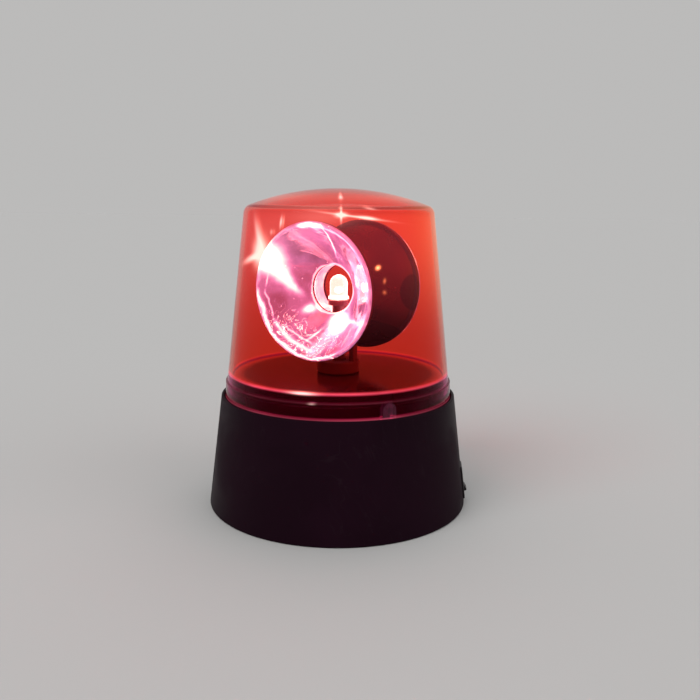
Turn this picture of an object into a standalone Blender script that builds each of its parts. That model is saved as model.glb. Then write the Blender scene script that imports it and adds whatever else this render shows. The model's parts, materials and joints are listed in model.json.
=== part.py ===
"""A battery beacon lamp: black base with a rocker switch, red dome and a turning pair of reflectors.

Metres, +Z up. The origin is the centre of the ring that the base stands on, and the switch is at +X.
A motor turns the reflectors round a fixed lamp through an idler gear. Angles are about +Z from +X.
"""

import math

import bmesh
import bpy
from mathutils import Matrix, Vector

# Clearances
GAP = 0.0003
SPIN_GAP = 0.0006
OVERRUN = 0.002
BITE = 0.0006

# Facets round one turn, and steps along a curve
SHELL_SIDES = 56
DECK_SIDES = 40
BOWL_SIDES = 36
ROUND_SIDES = 20
PIN_SIDES = 12
WIRE_BEVEL_STEPS = 1
WIRE_STEPS = 2

# Cells, which everything else is built round
CELL_RADIUS = 0.0070
CELL_LENGTH = 0.0495
CELL_EDGE = 0.0006
CELL_SPACING = 0.0013
CELL_CLEARANCE = 0.0006
BUTTON_RADIUS = 0.00275
BUTTON_HEIGHT = 0.0010
SPRING_LENGTH = 0.0042
SPRING_WIRE_RADIUS = 0.00035
SPRING_BASE_RADIUS = 0.0034
SPRING_TIP_RADIUS = 0.0022
SPRING_TURNS = 3
SPRING_POINTS_PER_TURN = 8
CONTACT_THICKNESS = 0.0004
CONTACT_HALF_WIDTH = 0.0040
CONTACT_HEIGHT = 0.0090
TAB_WIDTH = 0.0030
TAB_RISE = 0.0022
TAB_SLOT_CLEARANCE = 0.0004

# Battery door
DOOR_THICKNESS = 0.0016
DOOR_PIN_RADIUS = 0.0007
DOOR_PIN_LENGTH = 0.0012
DOOR_HINGE_INSET = 0.0015
EAR_RADIUS = 0.0038
EAR_REACH = 0.0050
EAR_PAD_THICKNESS = 0.0018
EAR_PAD_MARGIN = 0.0018
DOOR_SCREW_LENGTH = 0.0054
DOOR_SCREW_SEAT = 0.0006
DOOR_SCREW_SWAY = 0.0006
DOOR_BOSS_HEIGHT = 0.0044

# Battery case, its floor being the bottom plate
CASE_PLATE_BOTTOM = 0.0010
CASE_PLATE_THICKNESS = 0.0022
CASE_PLATE_MARGIN = 0.00945
CASE_WALL = 0.0016

# Screws, all of one kind
SCREW_SHANK_RADIUS = 0.0012
SCREW_HEAD_RADIUS = 0.0024
SCREW_HEAD_HEIGHT = 0.0014
SCREW_SLOT_WIDTH = 0.0007
SCREW_SLOT_DEPTH = 0.0006
BOSS_WALL = 0.0015
SCREWS_PER_RING = 3

# Base screws hold the battery case under the base
BASE_SCREW_INSET = 0.0059
BASE_SCREW_ANGLE = math.radians(60.0)
BASE_SCREW_LENGTH = 0.0105
BASE_BOSS_HEIGHT = 0.0125
BASE_WEB_WIDTH = 0.0020

# Base housing
FOOT_DRAFT = 0.0004
BASE_FLARE = 0.00525
BASE_EDGE = 0.0008
BASE_WALL = 0.0024
RIM_RISE = 0.0041
RIM_EDGE = 0.0004
RIM_WALL = 0.00105
SHELF_STEP = 0.0002
SHELF_THICKNESS = 0.0022
SHELF_WIDTH = 0.00675

# Dome
SKIRT_DRAFT = 0.00033
SKIRT_WALL = 0.0017
WALL_FOOT_RISE = 0.0010
FLANGE_DROP = 0.0033
FLANGE_EDGE = 0.0004
FLANGE_LEDGE = 0.00098
DOME_TAPER = math.radians(6.34)
DOME_WALL = 0.0016
DOME_HEADROOM = 0.0118
CAP_RADIUS = 0.0928
SHOULDER_RADIUS = 0.0036
SHOULDER_STEPS = 4
CAP_STEPS = 4

# Three lugs that lock the dome to the collar of the deck
LUG_COUNT = 3
LUG_ANGLE = math.radians(-60.0)
LUG_WIDTH = 0.0050
LUG_STRAIGHT = 0.0033
LUG_DROP = 0.00094
LUG_DEPTH = 0.0012
LUG_HOLE_RADIUS = 0.0009
LUG_ARCH_STEPS = 6
PIP_RADIUS = 0.0005

# Deck, with its collar and the screws that come up through tabs on the shelf of the base
DECK_THICKNESS = 0.0032
COLLAR_DROP = 0.0042
COLLAR_WALL = 0.0022
DECK_SCREW_INSET = 0.00137
DECK_SCREW_ANGLE = math.radians(60.0)
DECK_SCREW_LENGTH = 0.0085
SHELF_TAB_RADIUS = 0.0034

# Gear plate, hung under the deck on three posts
PLATE_THICKNESS = 0.0020
PLATE_CLEARANCE = 0.0015
PLATE_SCREW_INSET = 0.0045
PLATE_SCREW_ANGLE = 0.0
PLATE_SCREW_LENGTH = 0.0080

# Gears, all of one module
MODULE = 0.0005
TURRET_TEETH = 60
IDLER_TEETH = 50
PINION_TEETH = 10
FINE_TEETH = 30
TOOTH_SLACK_SHARE = 0.20
ADDENDUM_SHARE = 0.80
DEDENDUM_SHARE = 1.15
ROOT_SPREAD_SHARE = 0.75
TIP_DRAW_SHARE = 1.10
PRESSURE_ANGLE = math.radians(20.0)
TURRET_GEAR_THICKNESS = 0.0030
IDLER_GEAR_THICKNESS = 0.0025
GEAR_SPACING = 0.00234
MESH_OVERLAP = 0.0004
IDLER_ANGLE = math.radians(180.0)
PINION_ANGLE = math.radians(-60.0)
AXLE_RADIUS = 0.0010
AXLE_SEAT_FLOOR = 0.0006

# Motor, a small flat-sided can under the gear plate
MOTOR_HEADROOM = 0.0022
MOTOR_RADIUS = 0.0060
MOTOR_FLAT = 0.0100
MOTOR_CAN_LENGTH = 0.0130
MOTOR_CAP_LENGTH = 0.0018
MOTOR_CAP_INSET = 0.0002
MOTOR_NOSE_RADIUS = 0.0020
MOTOR_NOSE_LENGTH = 0.0015
MOTOR_SHAFT_RADIUS = 0.00075
MOTOR_SHAFT_DEPTH = 0.0100
MOTOR_TERMINAL_LENGTH = 0.0024
MOTOR_TERMINAL_WIDTH = 0.0018
MOTOR_TERMINAL_THICKNESS = 0.0004
MOTOR_TERMINAL_SPACING = 0.0052

# Turret, which turns round the lamp post
TURRET_YAW = math.radians(-27.0)
HUB_RADIUS = 0.0081
HUB_THICKNESS = 0.00456
HUB_NECK_RADIUS = 0.0050
STEM_WIDTH = 0.0025
STEM_DEPTH = 0.0030
RING_WIDTH = 0.0025
RING_HALF_DEPTH = 0.0031

# Reflector bowls, facing away from each other
BOWL_FOOT_CLEARANCE = 0.0022
BOWL_HOLE_RADIUS = 0.0090
BOWL_HOLE_DISTANCE = 0.0044
BOWL_RIM_RADIUS = 0.0253
BOWL_RIM_DISTANCE = 0.0188
BOWL_WALL = 0.0010
BOWL_LIP = 0.0020
BOWL_STEPS = 5

# Lamp post and lamp, which stand still
POST_RADIUS = 0.0024
POST_BORE_RADIUS = 0.0016
POST_FOOT_RADIUS = 0.0050
POST_FOOT_THICKNESS = 0.0015
SOCKET_DROP = 0.0065
SOCKET_HEIGHT = 0.0020
SOCKET_RADIUS = 0.0040
LAMP_FLANGE_RADIUS = 0.0039
LAMP_FLANGE_HEIGHT = 0.0010
LAMP_RADIUS = 0.0034
LAMP_BODY_HEIGHT = 0.0048
LAMP_STEPS = 5

# Rocker switch
SWITCH_FOOT = 0.0020
SWITCH_PAD_DEPTH = 0.0008
BEZEL_WIDTH = 0.0090
BEZEL_LENGTH = 0.0130
BEZEL_THICKNESS = 0.0013
BEZEL_SIDE_BORDER = 0.00105
BEZEL_END_BORDER = 0.0009
SWITCH_RELIEF_DEPTH = 0.0016
SWITCH_BODY_DEPTH = 0.0087
SWITCH_SIDE_WALL = 0.0007
SWITCH_END_WALL = 0.0005
SWITCH_WELL_DEPTH = 0.0042
ROCKER_TILT = math.radians(13.0)
ROCKER_AXIS_DEPTH = 0.0007
ROCKER_END_CLEARANCE = 0.0007
ROCKER_DRAW = 0.0004
ROCKER_END_RISE = 0.0023
ROCKER_MIDDLE_RISE = 0.0013
ROCKER_FOOT_DEPTH = 0.0012
ROCKER_PIN_RADIUS = 0.0007
ROCKER_PIN_LENGTH = 0.0007
BLADE_LENGTH = 0.0057
BLADE_WIDTH = 0.0040
BLADE_THICKNESS = 0.0008
BLADE_INSET = 0.0024

# Driver board, on two pegs of the battery case
BOARD_CENTRE_X = 0.0130
BOARD_WIDTH = 0.0200
BOARD_LENGTH = 0.0260
BOARD_THICKNESS = 0.0012
PEG_HEIGHT = 0.0020
PEG_RADIUS = 0.0015
PEG_INSET = 0.0030
CHIP_LENGTH = 0.0050
CHIP_WIDTH = 0.0040
CHIP_HEIGHT = 0.0016
CAPACITOR_RADIUS = 0.0032
CAPACITOR_HEIGHT = 0.0070
CAPACITOR_OFFSET_X = -0.0040
CAPACITOR_OFFSET_Y = -0.0070

# Leads
WIRE_RADIUS = 0.00055
LAMP_WIRE_RADIUS = 0.00045
LAMP_WIRE_OFFSET = 0.00075
LEAD_RISE = 0.0020
LEAD_DROP = 0.0010
BLADE_LEAD = 0.0010
LUG_LEAD = 0.0012
LUG_LEAD_RISE = 0.0002
POST_LEAD = 0.0025

# What follows from the cells: the bay, the case round it and the radii of the base and the dome
CELL_PITCH = CELL_RADIUS * 2 + CELL_SPACING
CASE_PLATE_TOP = CASE_PLATE_BOTTOM + CASE_PLATE_THICKNESS
DOOR_BOTTOM = CASE_PLATE_BOTTOM
DOOR_TOP = DOOR_BOTTOM + DOOR_THICKNESS
CELL_HEIGHT = DOOR_TOP + GAP + CELL_RADIUS
BAY_HALF_WIDTH = CELL_PITCH + CELL_RADIUS + CELL_CLEARANCE
BAY_TOP = CELL_HEIGHT + CELL_RADIUS + GAP
BAY_HALF_LENGTH = (
    CELL_LENGTH + BUTTON_HEIGHT + SPRING_LENGTH
) / 2 + GAP * 2 + CONTACT_THICKNESS + GAP
CASE_HALF_WIDTH = BAY_HALF_WIDTH + CASE_WALL
CASE_HALF_LENGTH = BAY_HALF_LENGTH + CASE_WALL
CASE_TOP = BAY_TOP + CASE_WALL
DOOR_HINGE_Y = -(BAY_HALF_LENGTH - DOOR_HINGE_INSET)
DOOR_HINGE_Z = (DOOR_BOTTOM + DOOR_TOP) / 2
DOOR_END = BAY_HALF_LENGTH - GAP
DOOR_HALF_WIDTH = BAY_HALF_WIDTH - GAP
EAR_CENTRE = BAY_HALF_LENGTH + EAR_REACH
EAR_POCKET_TOP = DOOR_TOP + GAP
EAR_PAD_TOP = EAR_POCKET_TOP + EAR_PAD_THICKNESS
DOOR_BOSS_TOP = EAR_PAD_TOP + DOOR_BOSS_HEIGHT
CASE_PLATE_RADIUS = EAR_CENTRE + EAR_RADIUS + CASE_PLATE_MARGIN
BASE_SCREW_RING_RADIUS = CASE_PLATE_RADIUS - BASE_SCREW_INSET
BASE_BOSS_BOTTOM = CASE_PLATE_TOP + GAP
BASE_BOSS_TOP = BASE_BOSS_BOTTOM + BASE_BOSS_HEIGHT
BASE_SCREW_HEAD_BOTTOM = CASE_PLATE_BOTTOM - GAP
BASE_BOTTOM_RADIUS = CASE_PLATE_RADIUS + GAP + BASE_WALL + FOOT_DRAFT
RIM_RADIUS = BASE_BOTTOM_RADIUS - BASE_FLARE
SHELF_INNER_RADIUS = RIM_RADIUS - SHELF_WIDTH
SKIRT_BOTTOM_RADIUS = RIM_RADIUS - RIM_WALL - GAP
FLANGE_RADIUS = SKIRT_BOTTOM_RADIUS - SKIRT_DRAFT
DOME_FOOT_RADIUS = FLANGE_RADIUS - FLANGE_LEDGE
COLLAR_RADIUS = FLANGE_RADIUS - SKIRT_WALL - GAP
COLLAR_INNER_RADIUS = COLLAR_RADIUS - COLLAR_WALL
DECK_SCREW_RING_RADIUS = COLLAR_INNER_RADIUS - DECK_SCREW_INSET
SCREW_HOLE_RADIUS = SCREW_SHANK_RADIUS + GAP
BOSS_RADIUS = SCREW_HOLE_RADIUS + BOSS_WALL
PLATE_RADIUS = DECK_SCREW_RING_RADIUS - BOSS_RADIUS - PLATE_CLEARANCE
PLATE_SCREW_RING_RADIUS = PLATE_RADIUS - PLATE_SCREW_INSET

# What follows from the gears
TURRET_PITCH_RADIUS = MODULE * TURRET_TEETH / 2
IDLER_PITCH_RADIUS = MODULE * IDLER_TEETH / 2
PINION_PITCH_RADIUS = MODULE * PINION_TEETH / 2
IDLER_DISTANCE = TURRET_PITCH_RADIUS + PINION_PITCH_RADIUS
PINION_DISTANCE = IDLER_PITCH_RADIUS + PINION_PITCH_RADIUS
IDLER_X = IDLER_DISTANCE * math.cos(IDLER_ANGLE)
IDLER_Y = IDLER_DISTANCE * math.sin(IDLER_ANGLE)
MOTOR_X = IDLER_X + PINION_DISTANCE * math.cos(PINION_ANGLE)
MOTOR_Y = IDLER_Y + PINION_DISTANCE * math.sin(PINION_ANGLE)

# Heights, stacked from the battery case up to the dome
BOARD_BOTTOM = CASE_TOP + PEG_HEIGHT + GAP
BOARD_TOP = BOARD_BOTTOM + BOARD_THICKNESS
PART_TOP_OF_BOARD = BOARD_TOP + GAP
MOTOR_CAP_BOTTOM = CASE_TOP + MOTOR_HEADROOM
MOTOR_CAP_TOP = MOTOR_CAP_BOTTOM + MOTOR_CAP_LENGTH
MOTOR_BOTTOM = MOTOR_CAP_TOP + GAP
MOTOR_TOP = MOTOR_BOTTOM + MOTOR_CAN_LENGTH
PLATE_BOTTOM = MOTOR_TOP + GAP
PLATE_TOP = PLATE_BOTTOM + PLATE_THICKNESS
POST_BOTTOM = PLATE_BOTTOM - GAP - POST_FOOT_THICKNESS
SHELF_TOP = PLATE_TOP + SHELF_STEP
SHELF_BOTTOM = SHELF_TOP - SHELF_THICKNESS
SEAT_HEIGHT = SHELF_TOP + GAP
RIM_HEIGHT = SHELF_TOP + RIM_RISE
PINION_BOTTOM = PLATE_TOP + GAP
IDLER_BOTTOM = PLATE_TOP + SPIN_GAP
IDLER_GEAR_TOP = IDLER_BOTTOM + IDLER_GEAR_THICKNESS
PINION_TOP = IDLER_GEAR_TOP + GAP
TURRET_GEAR_BOTTOM = IDLER_GEAR_TOP + GEAR_SPACING
TURRET_GEAR_TOP = TURRET_GEAR_BOTTOM + TURRET_GEAR_THICKNESS
IDLER_TOP = TURRET_GEAR_TOP - MESH_OVERLAP
DECK_UNDERSIDE = TURRET_GEAR_TOP + SPIN_GAP
DECK_HEIGHT = DECK_UNDERSIDE + DECK_THICKNESS
COLLAR_HEIGHT = DECK_HEIGHT - COLLAR_DROP
LUG_SPRING_HEIGHT = COLLAR_HEIGHT - LUG_DROP
LUG_BOTTOM = LUG_SPRING_HEIGHT - LUG_STRAIGHT
WALL_FOOT_HEIGHT = DECK_HEIGHT + WALL_FOOT_RISE
FLANGE_HEIGHT = WALL_FOOT_HEIGHT - FLANGE_DROP
HUB_FLANGE_BOTTOM = DECK_HEIGHT + GAP
HUB_TOP = HUB_FLANGE_BOTTOM + HUB_THICKNESS
HUB_BORE_RADIUS = POST_RADIUS + SPIN_GAP
RING_HEIGHT = HUB_TOP + BOWL_FOOT_CLEARANCE + BOWL_RIM_RADIUS
SOCKET_BOTTOM = RING_HEIGHT - SOCKET_DROP
SOCKET_TOP = SOCKET_BOTTOM + SOCKET_HEIGHT
LAMP_BOTTOM = SOCKET_TOP + GAP
DOME_APEX_HEIGHT = RING_HEIGHT + BOWL_RIM_RADIUS + DOME_HEADROOM
WALL_TILT = math.atan2(BASE_BOTTOM_RADIUS - RIM_RADIUS, RIM_HEIGHT)

# What follows from the bezel of the switch
SWITCH_HEIGHT = BEZEL_LENGTH / 2 + SWITCH_FOOT
SWITCH_BODY_WIDTH = BEZEL_WIDTH - BEZEL_SIDE_BORDER * 2
SWITCH_BODY_LENGTH = BEZEL_LENGTH - BEZEL_END_BORDER * 2
BLADE_SPACING = SWITCH_BODY_LENGTH - BLADE_INSET * 2
SWITCH_WELL_WIDTH = SWITCH_BODY_WIDTH - SWITCH_SIDE_WALL * 2
SWITCH_WELL_LENGTH = SWITCH_BODY_LENGTH - SWITCH_END_WALL * 2
ROCKER_HALF_LENGTH = SWITCH_WELL_LENGTH / 2 - ROCKER_END_CLEARANCE
ROCKER_FOOT_HALF_LENGTH = ROCKER_HALF_LENGTH - ROCKER_DRAW


def base_radius(height):
    """Outer radius of the base at a height, on the straight cone from foot to rim."""
    return BASE_BOTTOM_RADIUS - height * math.tan(WALL_TILT)


def clear_scene():
    for thing in list(bpy.data.objects):
        bpy.data.objects.remove(thing, do_unlink=True)


def plastic(name, colour, roughness, metallic=0.0, transmission=0.0):
    """A Principled material in one colour."""
    material = bpy.data.materials.new(name)
    material.use_nodes = True
    shader = material.node_tree.nodes["Principled BSDF"]
    shader.inputs["Base Color"].default_value = (*colour, 1)
    shader.inputs["Roughness"].default_value = roughness
    shader.inputs["Metallic"].default_value = metallic
    shader.inputs["Transmission Weight"].default_value = transmission
    material.diffuse_color = (*colour, 1)
    return material


def place(name, mesh, material=None, parent=None, smooth=False):
    """Puts a mesh in the scene as an object, under a parent empty if one is given."""
    thing = bpy.data.objects.new(name, mesh)
    bpy.context.scene.collection.objects.link(thing)
    if material is not None:
        mesh.materials.append(material)
    if parent is not None:
        thing.parent = parent
    if smooth:
        mesh.shade_smooth()
        mesh.set_sharp_from_angle(angle=math.radians(35))
    return thing


def empty(name, location, rotation=(0, 0, 0), parent=None):
    """An empty that carries pieces, with its origin on their joint's axis."""
    thing = bpy.data.objects.new(name, None)
    bpy.context.scene.collection.objects.link(thing)
    thing.location = location
    thing.rotation_euler = rotation
    thing.parent = parent
    return thing


def finished(name, bm, matrix=None):
    """Turns a bmesh into a mesh with its faces pointing out."""
    if matrix is not None:
        bmesh.ops.transform(bm, matrix=matrix, verts=bm.verts)
    bmesh.ops.recalc_face_normals(bm, faces=bm.faces)
    mesh = bpy.data.meshes.new(name)
    bm.to_mesh(mesh)
    bm.free()
    return mesh


def turned(name, outline, sides, matrix=None):
    """Solid of revolution about Z from a closed outline of (radius, height) points."""
    bm = bmesh.new()
    rings = []
    for radius, height in outline:
        if radius <= 0:
            rings.append([bm.verts.new((0, 0, height))])
            continue
        ring = []
        for step in range(sides):
            angle = math.tau * step / sides
            ring.append(bm.verts.new((radius * math.cos(angle), radius * math.sin(angle), height)))
        rings.append(ring)
    for first, second in zip(rings, rings[1:] + rings[:1]):
        for step in range(sides):
            after = (step + 1) % sides
            if len(first) == 1 and len(second) == 1:
                continue
            if len(first) == 1:
                bm.faces.new((first[0], second[after], second[step]))
            elif len(second) == 1:
                bm.faces.new((first[step], first[after], second[0]))
            else:
                bm.faces.new((first[step], first[after], second[after], second[step]))
    return finished(name, bm, matrix)


def prism(name, outline, bottom, top, matrix=None):
    """Solid with a flat (x, y) outline between two heights."""
    bm = bmesh.new()
    lower = [bm.verts.new((x, y, bottom)) for x, y in outline]
    upper = [bm.verts.new((x, y, top)) for x, y in outline]
    bm.faces.new(lower[::-1])
    bm.faces.new(upper)
    count = len(outline)
    for step in range(count):
        after = (step + 1) % count
        bm.faces.new((lower[step], lower[after], upper[after], upper[step]))
    return finished(name, bm, matrix)


def block(name, low, high, matrix=None):
    """Box between two corners."""
    outline = [(low[0], low[1]), (high[0], low[1]), (high[0], high[1]), (low[0], high[1])]
    return prism(name, outline, low[2], high[2], matrix)


def circle(radius, sides, centre=(0, 0)):
    """Points of a circle, anticlockwise."""
    points = []
    for step in range(sides):
        angle = math.tau * step / sides
        points.append((centre[0] + radius * math.cos(angle), centre[1] + radius * math.sin(angle)))
    return points


def rod(name, radius, bottom, top, centre=(0, 0), sides=ROUND_SIDES, matrix=None):
    """Upright cylinder."""
    return prism(name, circle(radius, sides, centre), bottom, top, matrix)


def polar(radius, angle):
    """Point on a circle about Z."""
    return (radius * math.cos(angle), radius * math.sin(angle))


def ring_angles(first, count):
    """Angles of a ring of equally spaced places."""
    return [first + math.tau * step / count for step in range(count)]


def hidden_tool(owner, mesh, operation):
    """Adds a Boolean to an object, with a tool object that isn't part of the model."""
    number = len(owner.modifiers) + 1
    tool = place(f"{owner.name}.tool.{number}", mesh, parent=owner.parent)
    tool.hide_render = True
    tool.display_type = "WIRE"
    modifier = owner.modifiers.new(f"{operation.title()} {number}", "BOOLEAN")
    modifier.operation = operation
    modifier.solver = "EXACT"
    modifier.object = tool


def cut(owner, mesh):
    hidden_tool(owner, mesh, "DIFFERENCE")


def add(owner, mesh):
    hidden_tool(owner, mesh, "UNION")


def wire(name, points, radius, material):
    """Insulated lead along a smooth path through the points given."""
    curve = bpy.data.curves.new(name, "CURVE")
    curve.dimensions = "3D"
    curve.bevel_depth = radius
    curve.bevel_resolution = WIRE_BEVEL_STEPS
    curve.use_fill_caps = True
    path = smooth_path(points)
    spline = curve.splines.new("POLY")
    spline.points.add(len(path) - 1)
    for point, place_on_path in zip(spline.points, path):
        point.co = (*place_on_path, 1)
    curve.materials.append(material)
    thing = bpy.data.objects.new(name, curve)
    bpy.context.scene.collection.objects.link(thing)
    return thing


def smooth_path(points, steps=WIRE_STEPS):
    """Catmull-Rom curve through the points, with a few steps between each two."""
    knots = [Vector(point) for point in points]
    ends = [knots[0] * 2 - knots[1]] + knots + [knots[-1] * 2 - knots[-2]]
    path = []
    for index in range(1, len(ends) - 2):
        before, start, end, after = ends[index - 1 : index + 3]
        for step in range(steps):
            t = step / steps
            path.append(
                (
                    start * 2
                    + (end - before) * t
                    + (before * 2 - start * 5 + end * 4 - after) * t**2
                    + (start * 3 - before - end * 3 + after) * t**3
                )
                / 2
            )
    path.append(knots[-1])
    return path


def screw(name, centre, seat, length, material, parent=None):
    """Slotted pan-head screw pointing up, its head just under the seat height."""
    tip = seat + length
    point = SCREW_SHANK_RADIUS / 2
    outline = [
        (0, seat - SCREW_HEAD_HEIGHT),
        (SCREW_HEAD_RADIUS - point, seat - SCREW_HEAD_HEIGHT),
        (SCREW_HEAD_RADIUS, seat - SCREW_HEAD_HEIGHT + point),
        (SCREW_HEAD_RADIUS, seat),
        (SCREW_SHANK_RADIUS, seat),
        (SCREW_SHANK_RADIUS, tip - point),
        (point, tip),
        (0, tip),
    ]
    matrix = Matrix.Translation((*centre, 0))
    thing = place(name, turned(name, outline, PIN_SIDES, matrix), material, parent, smooth=True)
    half = SCREW_SLOT_WIDTH / 2
    reach = SCREW_HEAD_RADIUS + OVERRUN
    floor = seat - SCREW_HEAD_HEIGHT + SCREW_SLOT_DEPTH
    low = (centre[0] - reach, centre[1] - half, seat - SCREW_HEAD_HEIGHT - OVERRUN)
    cut(thing, block(name + ".slot", low, (centre[0] + reach, centre[1] + half, floor)))
    return thing


def tooth_outline(teeth, phase):
    """Outline of a spur gear with straight-sided teeth, the first one at the phase angle."""
    pitch = MODULE * teeth / 2
    half = math.pi * MODULE / 4 * (1 - TOOTH_SLACK_SHARE)
    root = pitch - DEDENDUM_SHARE * MODULE
    tip = pitch + ADDENDUM_SHARE * MODULE
    lean = math.tan(PRESSURE_ANGLE)
    root_half = half + DEDENDUM_SHARE * MODULE * lean * ROOT_SPREAD_SHARE
    tip_half = half - ADDENDUM_SHARE * MODULE * lean * TIP_DRAW_SHARE
    flank = [(root, root_half), (pitch, half), (tip, tip_half)]
    if teeth > FINE_TEETH:
        flank = [(root, root_half), (tip, tip_half)]
    steps = [(radius, -width) for radius, width in flank]
    steps += [(radius, width) for radius, width in reversed(flank)]
    points = []
    for tooth in range(teeth):
        middle = phase + math.tau * tooth / teeth
        for radius, width in steps:
            points.append(polar(radius, middle + width / radius))
    return points


def seat_lug(name, radius_in, radius_out, margin, angle):
    """Arch-topped block that stands out from the collar at an angle, wider by a margin."""
    half = LUG_WIDTH / 2 + margin
    outline = [(-half, LUG_BOTTOM - margin), (half, LUG_BOTTOM - margin)]
    for step in range(LUG_ARCH_STEPS + 1):
        turn = math.pi * step / LUG_ARCH_STEPS
        outline.append((half * math.cos(turn), LUG_SPRING_HEIGHT + half * math.sin(turn)))
    upright = Matrix.Rotation(math.radians(90), 4, "X")
    outwards = Matrix.Rotation(angle + math.radians(90), 4, "Z")
    return prism(name, outline, radius_in, radius_out, outwards @ upright)


def lug_rod(name, radius, inner, outer, angle):
    """Round bar that runs outwards through a lug's centre."""
    lie_down = Matrix.Rotation(math.radians(90), 4, "Y")
    matrix = Matrix.Rotation(angle, 4, "Z") @ Matrix.Translation((0, 0, LUG_SPRING_HEIGHT)) @ lie_down
    return rod(name, radius, inner, outer, sides=PIN_SIDES, matrix=matrix)


def make_base_housing(material):
    """Black cone with a shelf inside, a thin rim round the dome and a hole for the switch."""
    foot_inner = BASE_BOTTOM_RADIUS - BASE_WALL
    shelf_wall = base_radius(SHELF_BOTTOM) - BASE_WALL
    rebate = RIM_RADIUS - RIM_WALL
    outline = [
        (foot_inner, 0),
        (BASE_BOTTOM_RADIUS - BASE_EDGE, 0),
        (BASE_BOTTOM_RADIUS - BASE_EDGE / 4, BASE_EDGE / 4),
        (base_radius(BASE_EDGE), BASE_EDGE),
        (base_radius(RIM_HEIGHT - RIM_EDGE), RIM_HEIGHT - RIM_EDGE),
        (RIM_RADIUS - RIM_EDGE, RIM_HEIGHT),
        (rebate, RIM_HEIGHT),
        (rebate, SHELF_TOP),
        (SHELF_INNER_RADIUS, SHELF_TOP),
        (SHELF_INNER_RADIUS, SHELF_BOTTOM),
        (shelf_wall, SHELF_BOTTOM),
    ]
    housing = place("base_housing", turned("base_housing", outline, SHELL_SIDES), material, smooth=True)
    for angle in ring_angles(DECK_SCREW_ANGLE, SCREWS_PER_RING):
        centre = polar(DECK_SCREW_RING_RADIUS, angle)
        add(housing, rod("shelf_tab", SHELF_TAB_RADIUS, SHELF_BOTTOM, SHELF_TOP, centre))
        low, high = SHELF_BOTTOM - OVERRUN, SHELF_TOP + OVERRUN
        cut(housing, rod("shelf_hole", SCREW_HOLE_RADIUS, low, high, centre, PIN_SIDES))
    for angle in ring_angles(BASE_SCREW_ANGLE, SCREWS_PER_RING):
        centre = polar(BASE_SCREW_RING_RADIUS, angle)
        add(housing, rod("base_boss", BOSS_RADIUS, BASE_BOSS_BOTTOM, BASE_BOSS_TOP, centre))
        wall_reach = base_radius(BASE_BOSS_TOP) - BASE_WALL + BITE
        low = (BASE_SCREW_RING_RADIUS + SCREW_HOLE_RADIUS, -BASE_WEB_WIDTH / 2, BASE_BOSS_BOTTOM)
        high = (wall_reach, BASE_WEB_WIDTH / 2, BASE_BOSS_TOP - BITE)
        add(housing, block("base_web", low, high, Matrix.Rotation(angle, 4, "Z")))
        pilot_top = BASE_BOSS_BOTTOM + BASE_SCREW_LENGTH
        low = BASE_BOSS_BOTTOM - OVERRUN
        cut(housing, rod("base_pilot", SCREW_HOLE_RADIUS, low, pilot_top, centre, PIN_SIDES))
    half = (SWITCH_BODY_WIDTH / 2 + GAP, SWITCH_BODY_LENGTH / 2 + GAP)
    seat = switch_seat_matrix()
    low = (-BASE_WALL - OVERRUN, -half[0], -half[1])
    cut(housing, block("switch_hole", low, (OVERRUN, half[0], half[1]), seat))
    half = (BEZEL_WIDTH / 2 + GAP, BEZEL_LENGTH / 2 + GAP)
    low = (-GAP, -half[0], -half[1])
    cut(housing, block("switch_pad", low, (OVERRUN, half[0], half[1]), seat))
    return housing


def wall_radius(inset, height):
    """Radius of the dome's wall at a height, moved in by an inset."""
    lean_in = inset / math.cos(DOME_TAPER) + (height - WALL_FOOT_HEIGHT) * math.tan(DOME_TAPER)
    return DOME_FOOT_RADIUS - lean_in


def dome_outline(inset, foot):
    """Outer line of the dome from the foot up to the apex, moved in by an inset.

    The wall leans in at the taper, a round shoulder follows, then the shallow round cap.
    """
    across = Vector((math.cos(DOME_TAPER), math.sin(DOME_TAPER)))
    along = Vector((-math.sin(DOME_TAPER), math.cos(DOME_TAPER)))
    cap_centre = Vector((0, DOME_APEX_HEIGHT - CAP_RADIUS))
    wall_foot = Vector((DOME_FOOT_RADIUS, WALL_FOOT_HEIGHT))
    start = wall_foot - across * SHOULDER_RADIUS - cap_centre
    reach = CAP_RADIUS - SHOULDER_RADIUS
    middle = -start.dot(along)
    slide = middle + math.sqrt(middle**2 - start.dot(start) + reach**2)
    shoulder = cap_centre + start + along * slide
    top_angle = math.atan2(shoulder.y - cap_centre.y, shoulder.x)
    points = [(wall_radius(inset, foot), foot)]
    for step in range(SHOULDER_STEPS + 1):
        angle = DOME_TAPER + (top_angle - DOME_TAPER) * step / SHOULDER_STEPS
        radius = SHOULDER_RADIUS - inset
        points.append((shoulder.x + radius * math.cos(angle), shoulder.y + radius * math.sin(angle)))
    for step in range(1, CAP_STEPS):
        angle = top_angle + (math.radians(90) - top_angle) * step / CAP_STEPS
        radius = CAP_RADIUS - inset
        points.append((radius * math.cos(angle), cap_centre.y + radius * math.sin(angle)))
    points.append((0, DOME_APEX_HEIGHT - inset))
    return points


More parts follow.
